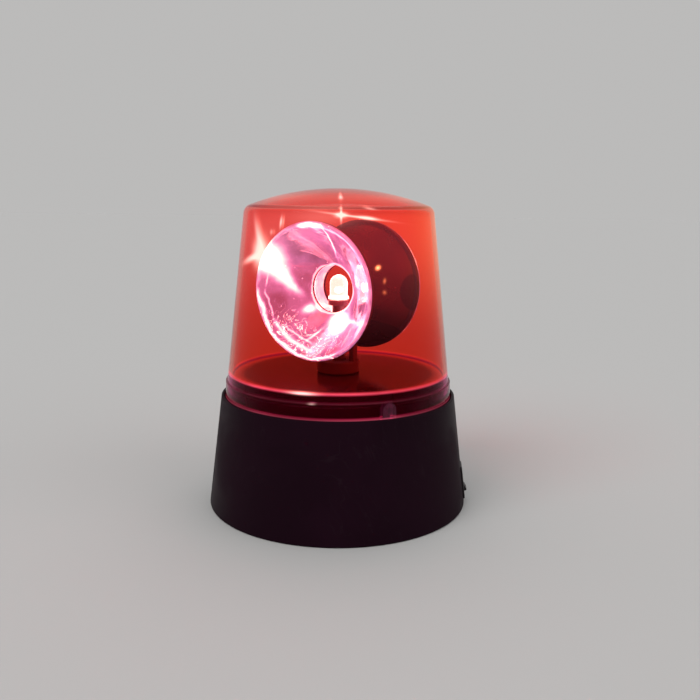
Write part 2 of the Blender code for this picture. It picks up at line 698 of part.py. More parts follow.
def make_dome(material):
    """Clear red dome in one piece, with a wider skirt that drops inside the rim of the base."""
    skirt_inner = FLANGE_RADIUS - SKIRT_WALL
    ledge = FLANGE_HEIGHT - DOME_WALL
    outline = [
        (skirt_inner, SEAT_HEIGHT),
        (SKIRT_BOTTOM_RADIUS, SEAT_HEIGHT),
        (FLANGE_RADIUS, FLANGE_HEIGHT - FLANGE_EDGE),
        (FLANGE_RADIUS - FLANGE_EDGE, FLANGE_HEIGHT),
    ]
    outline += dome_outline(0, FLANGE_HEIGHT)
    outline += reversed(dome_outline(DOME_WALL, ledge))
    outline.append((skirt_inner, ledge))
    dome = place("dome", turned("dome", outline, SHELL_SIDES), material, smooth=True)
    for angle in ring_angles(LUG_ANGLE, LUG_COUNT):
        inner = skirt_inner - LUG_DEPTH + GAP
        add(dome, seat_lug("dome_lug", inner, skirt_inner + BITE, 0, angle))
        cut(dome, lug_rod("lug_hole", LUG_HOLE_RADIUS, inner - OVERRUN, FLANGE_RADIUS + OVERRUN, angle))
    return dome


def make_deck(material):
    """Black deck inside the dome's wall, with a collar inside the skirt and six posts underneath."""
    hole = HUB_NECK_RADIUS + SPIN_GAP
    clear = DOME_WALL + GAP
    outline = [
        (hole, DECK_UNDERSIDE),
        (COLLAR_INNER_RADIUS, DECK_UNDERSIDE),
        (COLLAR_INNER_RADIUS, SEAT_HEIGHT),
        (COLLAR_RADIUS, SEAT_HEIGHT),
        (COLLAR_RADIUS, COLLAR_HEIGHT),
        (wall_radius(clear, COLLAR_HEIGHT), COLLAR_HEIGHT),
        (wall_radius(clear, DECK_HEIGHT), DECK_HEIGHT),
        (hole, DECK_HEIGHT),
    ]
    deck = place("deck", turned("deck", outline, DECK_SIDES), material, smooth=True)
    rings = (
        (DECK_SCREW_RING_RADIUS, DECK_SCREW_ANGLE, SEAT_HEIGHT, DECK_SCREW_LENGTH),
        (PLATE_SCREW_RING_RADIUS, PLATE_SCREW_ANGLE, PLATE_TOP + GAP, PLATE_SCREW_LENGTH),
    )
    for radius, first, bottom, length in rings:
        for angle in ring_angles(first, SCREWS_PER_RING):
            centre = polar(radius, angle)
            add(deck, rod("deck_post", BOSS_RADIUS, bottom, DECK_UNDERSIDE + BITE, centre))
            pilot = (bottom - OVERRUN, bottom + length - PLATE_THICKNESS)
            cut(deck, rod("post_pilot", SCREW_HOLE_RADIUS, *pilot, centre, PIN_SIDES))
    for angle in ring_angles(LUG_ANGLE, LUG_COUNT):
        recess = COLLAR_RADIUS - LUG_DEPTH
        cut(deck, seat_lug("lug_recess", recess, COLLAR_RADIUS + OVERRUN, GAP, angle))
        half = LUG_WIDTH / 2 + GAP
        way_in = Matrix.Rotation(angle, 4, "Z")
        low = (recess, -half, LUG_SPRING_HEIGHT)
        high = (COLLAR_RADIUS + OVERRUN, half, DECK_HEIGHT + OVERRUN)
        cut(deck, block("lug_way", low, high, way_in))
        add(deck, lug_rod("pip", PIP_RADIUS, recess - BITE, COLLAR_RADIUS + GAP, angle))
    return deck


def make_gear_plate(material):
    """Round plate under the gears, with seats for the motor, the idler's axle and the lamp post."""
    disc = rod("gear_plate", PLATE_RADIUS, PLATE_BOTTOM, PLATE_TOP, sides=DECK_SIDES)
    plate = place("gear_plate", disc, material)
    low, high = PLATE_BOTTOM - OVERRUN, PLATE_TOP + OVERRUN
    cut(plate, rod("post_hole", POST_RADIUS + GAP, low, high, sides=ROUND_SIDES))
    cut(plate, rod("nose_hole", MOTOR_NOSE_RADIUS + GAP, low, high, (MOTOR_X, MOTOR_Y), PIN_SIDES))
    floor = PLATE_BOTTOM + AXLE_SEAT_FLOOR
    cut(plate, rod("axle_seat", AXLE_RADIUS + GAP, floor, high, (IDLER_X, IDLER_Y), PIN_SIDES))
    for angle in ring_angles(PLATE_SCREW_ANGLE, SCREWS_PER_RING):
        centre = polar(PLATE_SCREW_RING_RADIUS, angle)
        cut(plate, rod("plate_hole", SCREW_HOLE_RADIUS, low, high, centre, PIN_SIDES))
    return plate


def make_screws(material):
    """Screws of the deck, of the gear plate and of the battery case."""
    rings = (
        ("deck_screw", DECK_SCREW_RING_RADIUS, DECK_SCREW_ANGLE, SHELF_BOTTOM - GAP, DECK_SCREW_LENGTH),
        ("plate_screw", PLATE_SCREW_RING_RADIUS, PLATE_SCREW_ANGLE, PLATE_BOTTOM - GAP, PLATE_SCREW_LENGTH),
        ("base_screw", BASE_SCREW_RING_RADIUS, BASE_SCREW_ANGLE, base_screw_seat(), BASE_SCREW_LENGTH),
    )
    for name, radius, first, seat, length in rings:
        for number, angle in enumerate(ring_angles(first, SCREWS_PER_RING), 1):
            screw(f"{name}_{number}", polar(radius, angle), seat, length, material)


def base_screw_seat():
    """Height under which a base screw's head lies, sunk into the bottom plate."""
    return BASE_SCREW_HEAD_BOTTOM + SCREW_HEAD_HEIGHT


def make_turret(black, mirror):
    """The turning pieces: a frame on a hollow hub, its gear and two bowls back to back."""
    axis = empty("turret_axis", (0, 0, 0), (0, 0, TURRET_YAW))
    gear_bore = HUB_NECK_RADIUS + GAP
    hub = [
        (HUB_BORE_RADIUS, TURRET_GEAR_BOTTOM),
        (HUB_NECK_RADIUS, TURRET_GEAR_BOTTOM),
        (HUB_NECK_RADIUS, HUB_FLANGE_BOTTOM),
        (HUB_RADIUS, HUB_FLANGE_BOTTOM),
        (HUB_RADIUS, HUB_TOP),
        (HUB_BORE_RADIUS, HUB_TOP),
    ]
    frame = place("turret_frame", turned("turret_frame", hub, ROUND_SIDES), black, axis, smooth=True)
    ring_inner = BOWL_HOLE_RADIUS
    ring_outer = ring_inner + RING_WIDTH
    stem_low = (HUB_RADIUS - STEM_WIDTH, -STEM_DEPTH / 2, HUB_TOP - BITE)
    stem_high = (HUB_RADIUS - BITE / 2, STEM_DEPTH / 2, RING_HEIGHT - ring_inner + BITE * 2)
    add(frame, block("stem", stem_low, stem_high))
    across = Matrix.Translation((0, 0, RING_HEIGHT)) @ Matrix.Rotation(math.radians(90), 4, "X")
    ring = [
        (ring_inner, -RING_HALF_DEPTH),
        (ring_outer, -RING_HALF_DEPTH),
        (ring_outer, RING_HALF_DEPTH),
        (ring_inner, RING_HALF_DEPTH),
    ]
    add(frame, turned("ring", ring, ROUND_SIDES, across))
    gap_radius = RING_HALF_DEPTH + GAP / 2
    gap_top = RING_HEIGHT - ring_inner + STEM_WIDTH
    cut(frame, rod("post_gap", gap_radius, HUB_TOP + GAP, gap_top, sides=PIN_SIDES))
    gear_outline = tooth_outline(TURRET_TEETH, IDLER_ANGLE - TURRET_YAW)
    gear = place(
        "turret_gear",
        prism("turret_gear", gear_outline, TURRET_GEAR_BOTTOM, TURRET_GEAR_TOP),
        black,
        axis,
    )
    low, high = TURRET_GEAR_BOTTOM - OVERRUN, TURRET_GEAR_TOP + OVERRUN
    cut(gear, rod("gear_bore", gear_bore, low, high))
    for name, turn in (("reflector_front", 90), ("reflector_rear", -90)):
        face = Matrix.Translation((0, 0, RING_HEIGHT)) @ Matrix.Rotation(math.radians(turn), 4, "X")
        place(name, turned(name, bowl_outline(), BOWL_SIDES, face), mirror, axis, smooth=True)


def bowl_outline():
    """Section of a bowl: a parabola from the hole to the rim, its back the same line moved back."""
    inner_rim = BOWL_RIM_RADIUS - BOWL_WALL
    rise = BOWL_RIM_DISTANCE - BOWL_HOLE_DISTANCE
    spread = inner_rim**2 - BOWL_HOLE_RADIUS**2
    front, back = [], []
    for step in range(BOWL_STEPS + 1):
        radius = BOWL_HOLE_RADIUS + (inner_rim - BOWL_HOLE_RADIUS) * step / BOWL_STEPS
        depth = BOWL_HOLE_DISTANCE + rise * (radius**2 - BOWL_HOLE_RADIUS**2) / spread
        front.append((radius, depth))
        back.append((radius, depth - BOWL_WALL))
    lip = BOWL_RIM_DISTANCE - BOWL_LIP
    rim = [(inner_rim, lip), (BOWL_RIM_RADIUS, lip), (BOWL_RIM_RADIUS, BOWL_RIM_DISTANCE)]
    return back[:-1] + rim + front[::-1]


def make_idler(black, steel):
    """Large and small gear in one piece, turning on a steel axle in the gear plate."""
    axis = empty("idler_axis", (IDLER_X, IDLER_Y, 0))
    small_phase = IDLER_ANGLE + math.pi + math.pi / PINION_TEETH
    idler = place(
        "idler_gear",
        prism("idler_gear", tooth_outline(IDLER_TEETH, PINION_ANGLE), IDLER_BOTTOM, IDLER_GEAR_TOP),
        black,
        axis,
    )
    small = tooth_outline(PINION_TEETH, small_phase)
    add(idler, prism("small_gear", small, IDLER_GEAR_TOP - BITE, IDLER_TOP))
    bore = AXLE_RADIUS + GAP
    cut(idler, rod("idler_bore", bore, IDLER_BOTTOM - OVERRUN, IDLER_TOP + OVERRUN, sides=PIN_SIDES))
    low = PLATE_BOTTOM + AXLE_SEAT_FLOOR + GAP
    axle = rod("idler_axle", AXLE_RADIUS, low, DECK_UNDERSIDE - GAP, (IDLER_X, IDLER_Y), PIN_SIDES)
    place("idler_axle", axle, steel, smooth=True)


def motor_outline(inset):
    """Circle with two flat sides, facing +Y and -Y."""
    flat = MOTOR_FLAT / 2 - inset
    return [(x, max(-flat, min(flat, y))) for x, y in circle(MOTOR_RADIUS - inset, ROUND_SIDES)]


def make_motor(steel, black, brass):
    """Motor can with its end cap and terminals, and the shaft with its pinion on the joint's axis."""
    centre = (MOTOR_X, MOTOR_Y)
    there = Matrix.Translation((*centre, 0))
    can = place("motor_can", prism("motor_can", motor_outline(0), MOTOR_BOTTOM, MOTOR_TOP, there), steel)
    nose_top = MOTOR_TOP + MOTOR_NOSE_LENGTH
    add(can, rod("nose", MOTOR_NOSE_RADIUS, MOTOR_TOP - BITE, nose_top, centre, PIN_SIDES))
    bore = MOTOR_SHAFT_RADIUS + GAP
    floor = MOTOR_TOP - MOTOR_SHAFT_DEPTH
    cut(can, rod("shaft_bore", bore, floor, nose_top + OVERRUN, centre, PIN_SIDES))
    cap = prism("motor_end_cap", motor_outline(MOTOR_CAP_INSET), MOTOR_CAP_BOTTOM, MOTOR_CAP_TOP, there)
    place("motor_end_cap", cap, black)
    inner = MOTOR_X + MOTOR_RADIUS - MOTOR_CAP_INSET + GAP
    middle = (MOTOR_CAP_BOTTOM + MOTOR_CAP_TOP) / 2
    for number, side in ((1, 1), (2, -1)):
        name = f"motor_terminal_{number}"
        y = MOTOR_Y + side * MOTOR_TERMINAL_SPACING / 2
        half = (MOTOR_TERMINAL_WIDTH / 2, MOTOR_TERMINAL_THICKNESS / 2)
        low = (inner, y - half[0], middle - half[1])
        high = (inner + MOTOR_TERMINAL_LENGTH, y + half[0], middle + half[1])
        place(name, block(name, low, high), brass)
    axis = empty("motor_axis", (MOTOR_X, MOTOR_Y, 0))
    shaft = rod("motor_shaft", MOTOR_SHAFT_RADIUS, floor + GAP, PINION_TOP + GAP, sides=PIN_SIDES)
    place("motor_shaft", shaft, steel, axis, smooth=True)
    phase = PINION_ANGLE + math.pi + math.pi / PINION_TEETH
    outline = tooth_outline(PINION_TEETH, phase)
    pinion = place("motor_pinion", prism("motor_pinion", outline, PINION_BOTTOM, PINION_TOP), brass, axis)
    cut(pinion, rod("pinion_bore", bore, PINION_BOTTOM - OVERRUN, PINION_TOP + OVERRUN, sides=PIN_SIDES))


def make_lamp(black, clear):
    """Hollow post that stands through the hub, with a socket and a round clear lamp on top."""
    outline = [
        (POST_BORE_RADIUS, POST_BOTTOM),
        (POST_FOOT_RADIUS, POST_BOTTOM),
        (POST_FOOT_RADIUS, POST_BOTTOM + POST_FOOT_THICKNESS),
        (POST_RADIUS, POST_BOTTOM + POST_FOOT_THICKNESS),
        (POST_RADIUS, SOCKET_BOTTOM),
        (SOCKET_RADIUS, SOCKET_BOTTOM),
        (SOCKET_RADIUS, SOCKET_TOP),
        (POST_BORE_RADIUS, SOCKET_TOP),
    ]
    place("lamp_post", turned("lamp_post", outline, ROUND_SIDES), black, smooth=True)
    body_bottom = LAMP_BOTTOM + LAMP_FLANGE_HEIGHT
    body_top = body_bottom + LAMP_BODY_HEIGHT
    outline = [
        (0, LAMP_BOTTOM),
        (LAMP_FLANGE_RADIUS, LAMP_BOTTOM),
        (LAMP_FLANGE_RADIUS, body_bottom),
        (LAMP_RADIUS, body_bottom),
    ]
    for step in range(LAMP_STEPS):
        angle = math.radians(90) * step / LAMP_STEPS
        outline.append((LAMP_RADIUS * math.cos(angle), body_top + LAMP_RADIUS * math.sin(angle)))
    outline.append((0, body_top + LAMP_RADIUS))
    place("led_lamp", turned("led_lamp", outline, ROUND_SIDES), clear, smooth=True)


def make_battery_case(material):
    """Bottom plate with the battery bay on it, the screw wells, the door's seat and two pegs."""
    plate = rod("battery_case", CASE_PLATE_RADIUS, CASE_PLATE_BOTTOM, CASE_PLATE_TOP, sides=SHELL_SIDES)
    case = place("battery_case", plate, material)
    low = (-CASE_HALF_WIDTH, -CASE_HALF_LENGTH, CASE_PLATE_TOP - BITE)
    add(case, block("bay_box", low, (CASE_HALF_WIDTH, CASE_HALF_LENGTH, CASE_TOP)))
    pad_radius = EAR_RADIUS + EAR_PAD_MARGIN
    add(case, rod("ear_pad", pad_radius, CASE_PLATE_TOP - BITE, EAR_PAD_TOP, (0, EAR_CENTRE)))
    boss_radius = SCREW_SHANK_RADIUS + DOOR_SCREW_SWAY + BOSS_WALL
    add(case, rod("door_boss", boss_radius, EAR_PAD_TOP - BITE, DOOR_BOSS_TOP, (0, EAR_CENTRE)))
    for x, y in peg_places():
        add(case, rod("peg", PEG_RADIUS, CASE_TOP - BITE, CASE_TOP + PEG_HEIGHT, (x, y), PIN_SIDES))
    low = (-BAY_HALF_WIDTH, -BAY_HALF_LENGTH, CASE_PLATE_BOTTOM - OVERRUN)
    cut(case, block("bay", low, (BAY_HALF_WIDTH, BAY_HALF_LENGTH, BAY_TOP)))
    pocket = EAR_RADIUS + GAP
    low = (-pocket, BAY_HALF_LENGTH - BITE, CASE_PLATE_BOTTOM - OVERRUN)
    cut(case, block("ear_way", low, (pocket, EAR_CENTRE, EAR_POCKET_TOP)))
    cut(case, rod("ear_pocket", pocket, CASE_PLATE_BOTTOM - OVERRUN, EAR_POCKET_TOP, (0, EAR_CENTRE)))
    hole = SCREW_SHANK_RADIUS + DOOR_SCREW_SWAY
    top = DOOR_BOSS_TOP - BITE
    cut(case, rod("door_screw_hole", hole, CASE_PLATE_BOTTOM, top, (0, EAR_CENTRE), PIN_SIDES))
    lie = Matrix.Translation((0, DOOR_HINGE_Y, DOOR_HINGE_Z)) @ Matrix.Rotation(math.radians(90), 4, "Y")
    socket = DOOR_PIN_RADIUS + GAP
    reach = CASE_HALF_WIDTH + OVERRUN
    cut(case, rod("hinge_sockets", socket, -reach, reach, sides=PIN_SIDES, matrix=lie))
    seat = base_screw_seat() + GAP
    for angle in ring_angles(BASE_SCREW_ANGLE, SCREWS_PER_RING):
        centre = polar(BASE_SCREW_RING_RADIUS, angle)
        well = SCREW_HEAD_RADIUS + GAP
        cut(case, rod("screw_well", well, CASE_PLATE_BOTTOM - OVERRUN, seat, centre, PIN_SIDES))
        top = CASE_PLATE_TOP + OVERRUN
        cut(case, rod("screw_way", SCREW_HOLE_RADIUS, CASE_PLATE_BOTTOM, top, centre, PIN_SIDES))
    half = SWITCH_BODY_WIDTH / 2 + GAP
    inner = base_radius(SWITCH_HEIGHT) - SWITCH_BODY_DEPTH - BLADE_LENGTH - BASE_WALL
    low = (inner, -half, CASE_PLATE_TOP - SWITCH_RELIEF_DEPTH)
    cut(case, block("switch_relief", low, (BASE_BOTTOM_RADIUS, half, CASE_PLATE_TOP + OVERRUN)))
    for x, side in tab_places():
        low_x, high_x = x - TAB_WIDTH / 2 - TAB_SLOT_CLEARANCE, x + TAB_WIDTH / 2 + TAB_SLOT_CLEARANCE
        inner, outer = BAY_HALF_LENGTH - CONTACT_THICKNESS - GAP * 3, BAY_HALF_LENGTH
        low_y, high_y = sorted((side * inner, side * outer))
        cut(case, block("tab_slot", (low_x, low_y, BAY_TOP - BITE), (high_x, high_y, CASE_TOP + OVERRUN)))
    return case


def peg_places():
    """Places of the two pegs under the driver board."""
    across = BOARD_WIDTH / 2 - PEG_INSET
    along = BOARD_LENGTH / 2 - PEG_INSET
    return ((BOARD_CENTRE_X - across, -along), (BOARD_CENTRE_X + across, along))


def tab_places():
    """Where the two end contacts have their tabs: x, and which end of the bay."""
    return ((-CELL_PITCH, 1), (CELL_PITCH, -1))


def make_batteries(jacket, steel, brass):
    """Three cells in a row, each turned the other way, with their springs and contacts."""
    cell_end = BAY_HALF_LENGTH - GAP - CONTACT_THICKNESS - GAP
    button_base = cell_end - BUTTON_HEIGHT
    back = button_base - CELL_LENGTH
    outline = [
        (0, back),
        (CELL_RADIUS - CELL_EDGE, back),
        (CELL_RADIUS, back + CELL_EDGE),
        (CELL_RADIUS, button_base - CELL_EDGE),
        (CELL_RADIUS - CELL_EDGE, button_base),
        (BUTTON_RADIUS, button_base),
        (BUTTON_RADIUS, cell_end),
        (0, cell_end),
    ]
    for number, side in ((1, 1), (2, -1), (3, 1)):
        x = CELL_PITCH * (number - 2)
        along = Matrix.Translation((x, 0, CELL_HEIGHT)) @ Matrix.Rotation(math.radians(-90 * side), 4, "X")
        name = f"battery_cell_{number}"
        place(name, turned(name, outline, ROUND_SIDES, along), jacket, smooth=True)
        battery_spring(f"battery_spring_{number}", x, side, back - GAP, -cell_end, steel)
    ends = (
        ("battery_contact_positive", (-CELL_PITCH,), 1),
        ("battery_link_rear", (0, CELL_PITCH), 1),
        ("battery_link_front", (-CELL_PITCH, 0), -1),
        ("battery_contact_negative", (CELL_PITCH,), -1),
    )
    for name, cells, side in ends:
        inner = BAY_HALF_LENGTH - GAP - CONTACT_THICKNESS
        low_y, high_y = sorted((side * inner, side * (inner + CONTACT_THICKNESS)))
        low = (min(cells) - CONTACT_HALF_WIDTH, low_y, CELL_HEIGHT - CONTACT_HEIGHT / 2)
        high = (max(cells) + CONTACT_HALF_WIDTH, high_y, CELL_HEIGHT + CONTACT_HEIGHT / 2)
        contact = place(name, block(name, low, high), brass)
        if len(cells) == 1:
            x = cells[0]
            low = (x - TAB_WIDTH / 2, low_y, CELL_HEIGHT)
            high = (x + TAB_WIDTH / 2, high_y, CASE_TOP + TAB_RISE)
            add(contact, block(name + ".tab", low, high))


def battery_spring(name, x, side, near, far, material):
    """Conical spring between a cell's flat end and its contact, as one wound wire."""
    start = near - SPRING_WIRE_RADIUS
    end = far + SPRING_WIRE_RADIUS + GAP
    points = []
    count = SPRING_TURNS * SPRING_POINTS_PER_TURN
    for step in range(count + 1):
        share = step / count
        radius = SPRING_TIP_RADIUS + (SPRING_BASE_RADIUS - SPRING_TIP_RADIUS) * share
        angle = math.tau * SPRING_TURNS * share
        y = side * (start + (end - start) * share)
        points.append((x + radius * math.cos(angle), y, CELL_HEIGHT + radius * math.sin(angle)))
    curve = bpy.data.curves.new(name, "CURVE")
    curve.dimensions = "3D"
    curve.bevel_depth = SPRING_WIRE_RADIUS
    curve.bevel_resolution = WIRE_BEVEL_STEPS
    curve.use_fill_caps = True
    spline = curve.splines.new("POLY")
    spline.points.add(len(points) - 1)
    for point, there in zip(spline.points, points):
        point.co = (*there, 1)
    curve.materials.append(material)
    thing = bpy.data.objects.new(name, curve)
    bpy.context.scene.collection.objects.link(thing)


def make_battery_door(material, steel):
    """Door that swings down about two pins at its front end, with a captive screw in its ear."""
    axis = empty("battery_door_axis", (0, DOOR_HINGE_Y, DOOR_HINGE_Z))
    half = DOOR_THICKNESS / 2
    end = DOOR_END - DOOR_HINGE_Y
    profile = []
    for step in range(PIN_SIDES // 2 + 1):
        angle = math.radians(90) + math.pi * step / (PIN_SIDES // 2)
        profile.append((half * math.cos(angle), half * math.sin(angle)))
    profile += [(end, -half), (end, half)]
    stand = Matrix(((0, 0, 1, 0), (1, 0, 0, 0), (0, 1, 0, 0), (0, 0, 0, 1)))
    panel = prism("battery_door", profile, -DOOR_HALF_WIDTH, DOOR_HALF_WIDTH, stand)
    door = place("battery_door", panel, material, axis)
    centre = (0, EAR_CENTRE - DOOR_HINGE_Y)
    add(door, rod("ear", EAR_RADIUS, -half, half, centre))
    low = (-EAR_RADIUS, end - BITE, -half)
    add(door, block("ear_bridge", low, (EAR_RADIUS, centre[1], half)))
    reach = DOOR_HALF_WIDTH + DOOR_PIN_LENGTH
    lie = Matrix.Rotation(math.radians(90), 4, "Y")
    add(door, rod("hinge_pins", DOOR_PIN_RADIUS, -reach, reach, sides=PIN_SIDES, matrix=lie))
    seat = half - DOOR_SCREW_SEAT
    well = SCREW_HEAD_RADIUS + GAP
    cut(door, rod("head_well", well, -half - OVERRUN, seat, centre, PIN_SIDES))
    cut(door, rod("shank_way", SCREW_HOLE_RADIUS, -half, half + OVERRUN, centre, PIN_SIDES))
    screw("battery_door_screw", centre, seat - GAP, DOOR_SCREW_LENGTH, steel, axis)


def switch_seat_matrix():
    """Frame of the switch on the sloping wall: X points out of the wall and Z up along it."""
    there = Vector((base_radius(SWITCH_HEIGHT), 0, SWITCH_HEIGHT))
    lean = Matrix.Rotation(-WALL_TILT, 4, "Y")
    return Matrix.Translation(there) @ lean @ Matrix.Translation((-SWITCH_PAD_DEPTH, 0, 0))


def make_switch(black, gloss, brass):
    """Rocker switch on the sloping wall at +X, with its lower end out, as when it is on."""
    matrix = switch_seat_matrix()
    seat = empty("switch_seat", matrix.to_translation(), matrix.to_euler())
    low = (0, -BEZEL_WIDTH / 2, -BEZEL_LENGTH / 2)
    housing = place(
        "switch_housing",
        block("switch_housing", low, (BEZEL_THICKNESS, BEZEL_WIDTH / 2, BEZEL_LENGTH / 2)),
        gloss,
        seat,
    )
    low = (-SWITCH_BODY_DEPTH, -SWITCH_BODY_WIDTH / 2, -SWITCH_BODY_LENGTH / 2)
    add(housing, block("body", low, (BITE, SWITCH_BODY_WIDTH / 2, SWITCH_BODY_LENGTH / 2)))
    low = (-SWITCH_WELL_DEPTH, -SWITCH_WELL_WIDTH / 2, -SWITCH_WELL_LENGTH / 2)
    high = (BEZEL_THICKNESS + OVERRUN, SWITCH_WELL_WIDTH / 2, SWITCH_WELL_LENGTH / 2)
    cut(housing, block("well", low, high))
    lie = Matrix.Translation((-ROCKER_AXIS_DEPTH, 0, 0)) @ Matrix.Rotation(math.radians(90), 4, "X")
    reach = SWITCH_BODY_WIDTH / 2 + OVERRUN
    cut(housing, rod("pin_sockets", ROCKER_PIN_RADIUS + GAP, -reach, reach, sides=PIN_SIDES, matrix=lie))
    axis = empty("rocker_axis", (-ROCKER_AXIS_DEPTH, 0, 0), (0, -ROCKER_TILT, 0), seat)
    outline = [
        (-ROCKER_FOOT_DEPTH, -ROCKER_FOOT_HALF_LENGTH),
        (ROCKER_END_RISE, -ROCKER_HALF_LENGTH),
        (ROCKER_MIDDLE_RISE, 0),
        (ROCKER_END_RISE, ROCKER_HALF_LENGTH),
        (-ROCKER_FOOT_DEPTH, ROCKER_FOOT_HALF_LENGTH),
    ]
    half = SWITCH_WELL_WIDTH / 2 - GAP
    upright = Matrix.Rotation(math.radians(90), 4, "X")
    rocker = place("switch_rocker", prism("switch_rocker", outline, -half, half, upright), gloss, axis)
    reach = half + ROCKER_PIN_LENGTH
    add(rocker, rod("rocker_pins", ROCKER_PIN_RADIUS, -reach, reach, sides=PIN_SIDES, matrix=upright))
    for number, side in ((1, 1), (2, -1)):
        name = f"switch_terminal_{number}"
        middle = side * BLADE_SPACING / 2
        outer = -SWITCH_BODY_DEPTH - GAP
        low = (outer - BLADE_LENGTH, -BLADE_WIDTH / 2, middle - BLADE_THICKNESS / 2)
        place(name, block(name, low, (outer, BLADE_WIDTH / 2, middle + BLADE_THICKNESS / 2)), brass, seat)


def make_driver(green, black, grey):
    """Driver board on its pegs, with the chip and the capacitor that stand on it."""
    low = (BOARD_CENTRE_X - BOARD_WIDTH / 2, -BOARD_LENGTH / 2, BOARD_BOTTOM)
    high = (BOARD_CENTRE_X + BOARD_WIDTH / 2, BOARD_LENGTH / 2, BOARD_TOP)
    place("driver_board", block("driver_board", low, high), green)
    low = (BOARD_CENTRE_X - CHIP_LENGTH / 2, -CHIP_WIDTH / 2, PART_TOP_OF_BOARD)
    high = (BOARD_CENTRE_X + CHIP_LENGTH / 2, CHIP_WIDTH / 2, PART_TOP_OF_BOARD + CHIP_HEIGHT)
    place("driver_chip", block("driver_chip", low, high), black)
    centre = (BOARD_CENTRE_X + CAPACITOR_OFFSET_X, CAPACITOR_OFFSET_Y)
    top = PART_TOP_OF_BOARD + CAPACITOR_HEIGHT
    can = rod("driver_capacitor", CAPACITOR_RADIUS, PART_TOP_OF_BOARD, top, centre)
    place("driver_capacitor", can, grey, smooth=True)


def wire_routes():
    """Routes of the leads inside the base, each from the piece it starts at to the board."""
    land = BOARD_TOP + GAP
    tab_top = CASE_TOP + TAB_RISE + GAP
    tab_y = BAY_HALF_LENGTH - GAP - CONTACT_THICKNESS / 2
    blade_end = -SWITCH_BODY_DEPTH - GAP - BLADE_LENGTH - GAP
    seat = switch_seat_matrix()
    upper = seat @ Vector((blade_end, 0, BLADE_SPACING / 2))
    lower = seat @ Vector((blade_end, 0, -BLADE_SPACING / 2))
    lug_x = MOTOR_X + MOTOR_RADIUS - MOTOR_CAP_INSET + GAP + MOTOR_TERMINAL_LENGTH + GAP
    lug_z = (MOTOR_CAP_BOTTOM + MOTOR_CAP_TOP) / 2
    lug_red = MOTOR_Y + MOTOR_TERMINAL_SPACING / 2
    lug_black = MOTOR_Y - MOTOR_TERMINAL_SPACING / 2
    post_low = POST_BOTTOM
    return {
        "battery_wire_red": [
            (-CELL_PITCH, tab_y, tab_top),
            (-CELL_PITCH, tab_y, tab_top + LEAD_RISE),
            (-0.0120, 0.0275, 0.0255),
            (0.0060, 0.0270, 0.0262),
            (0.0210, 0.0220, 0.0250),
            (0.0275, 0.0130, 0.0215),
            (0.0285, 0.0050, 0.0165),
            (0.0292, 0.0005, upper.z + LEAD_DROP),
            (upper.x - BLADE_LEAD, upper.y, upper.z),
            tuple(upper),
        ],
        "switch_wire": [
            tuple(lower),
            (lower.x - LUG_LEAD, lower.y, lower.z),
            (0.0300, -0.0020, 0.0062),
            (0.0280, -0.0060, 0.0110),
            (0.0270, -0.0085, 0.0180),
            (0.0250, -0.0095, 0.0236),
            (0.0222, -0.0095, 0.0248),
            (0.0206, -0.0095, land + LEAD_DROP),
            (0.0204, -0.0095, land),
        ],
        "battery_wire_black": [
            (CELL_PITCH, -tab_y, tab_top),
            (CELL_PITCH, -tab_y, tab_top + LEAD_RISE),
            (CELL_PITCH, -0.0240, 0.0262),
            (0.0155, -0.0170, 0.0262),
            (0.0155, -0.0125, 0.0250),
            (0.0155, -0.0110, land),
        ],
        "motor_wire_red": [
            (lug_x, lug_red, lug_z),
            (lug_x + LUG_LEAD, lug_red, lug_z + LUG_LEAD_RISE),
            (0.0015, lug_red, 0.0236),
            (0.0035, -0.0094, 0.0256),
            (0.0052, -0.0074, 0.0246),
            (0.0052, -0.0072, land),
        ],
        "motor_wire_black": [
            (lug_x, lug_black, lug_z),
            (lug_x + LUG_LEAD, lug_black, lug_z + LUG_LEAD_RISE),
            (0.0030, -0.0150, 0.0240),
            (0.0070, -0.0136, 0.0256),
            (0.0096, -0.0122, 0.0248),
            (0.0100, -0.0118, land),
        ],
        "lamp_wire_red": [
            (LAMP_WIRE_OFFSET, 0, SOCKET_TOP - GAP),
            (LAMP_WIRE_OFFSET, 0, 0.0600),
            (LAMP_WIRE_OFFSET, 0, 0.0450),
            (LAMP_WIRE_OFFSET, 0, post_low),
            (0.0012, 0.0004, post_low - POST_LEAD),
            (0.0045, 0.0022, 0.0280),
            (0.0088, 0.0048, 0.0256),
            (0.0100, 0.0056, land),
        ],
        "lamp_wire_black": [
            (-LAMP_WIRE_OFFSET, 0, SOCKET_TOP - GAP),
            (-LAMP_WIRE_OFFSET, 0, 0.0600),
            (-LAMP_WIRE_OFFSET, 0, 0.0450),
            (-LAMP_WIRE_OFFSET, 0, post_low),
            (-0.0008, 0.0010, post_low - POST_LEAD),
            (0.0020, 0.0050, 0.0282),
            (0.0064, 0.0092, 0.0256),
            (0.0076, 0.0100, land),
        ],
    }


def make_wires(red, black):
    for name, points in wire_routes().items():
        radius = LAMP_WIRE_RADIUS if name.startswith("lamp") else WIRE_RADIUS
        wire(name, points, radius, black if name.endswith("black") else red)


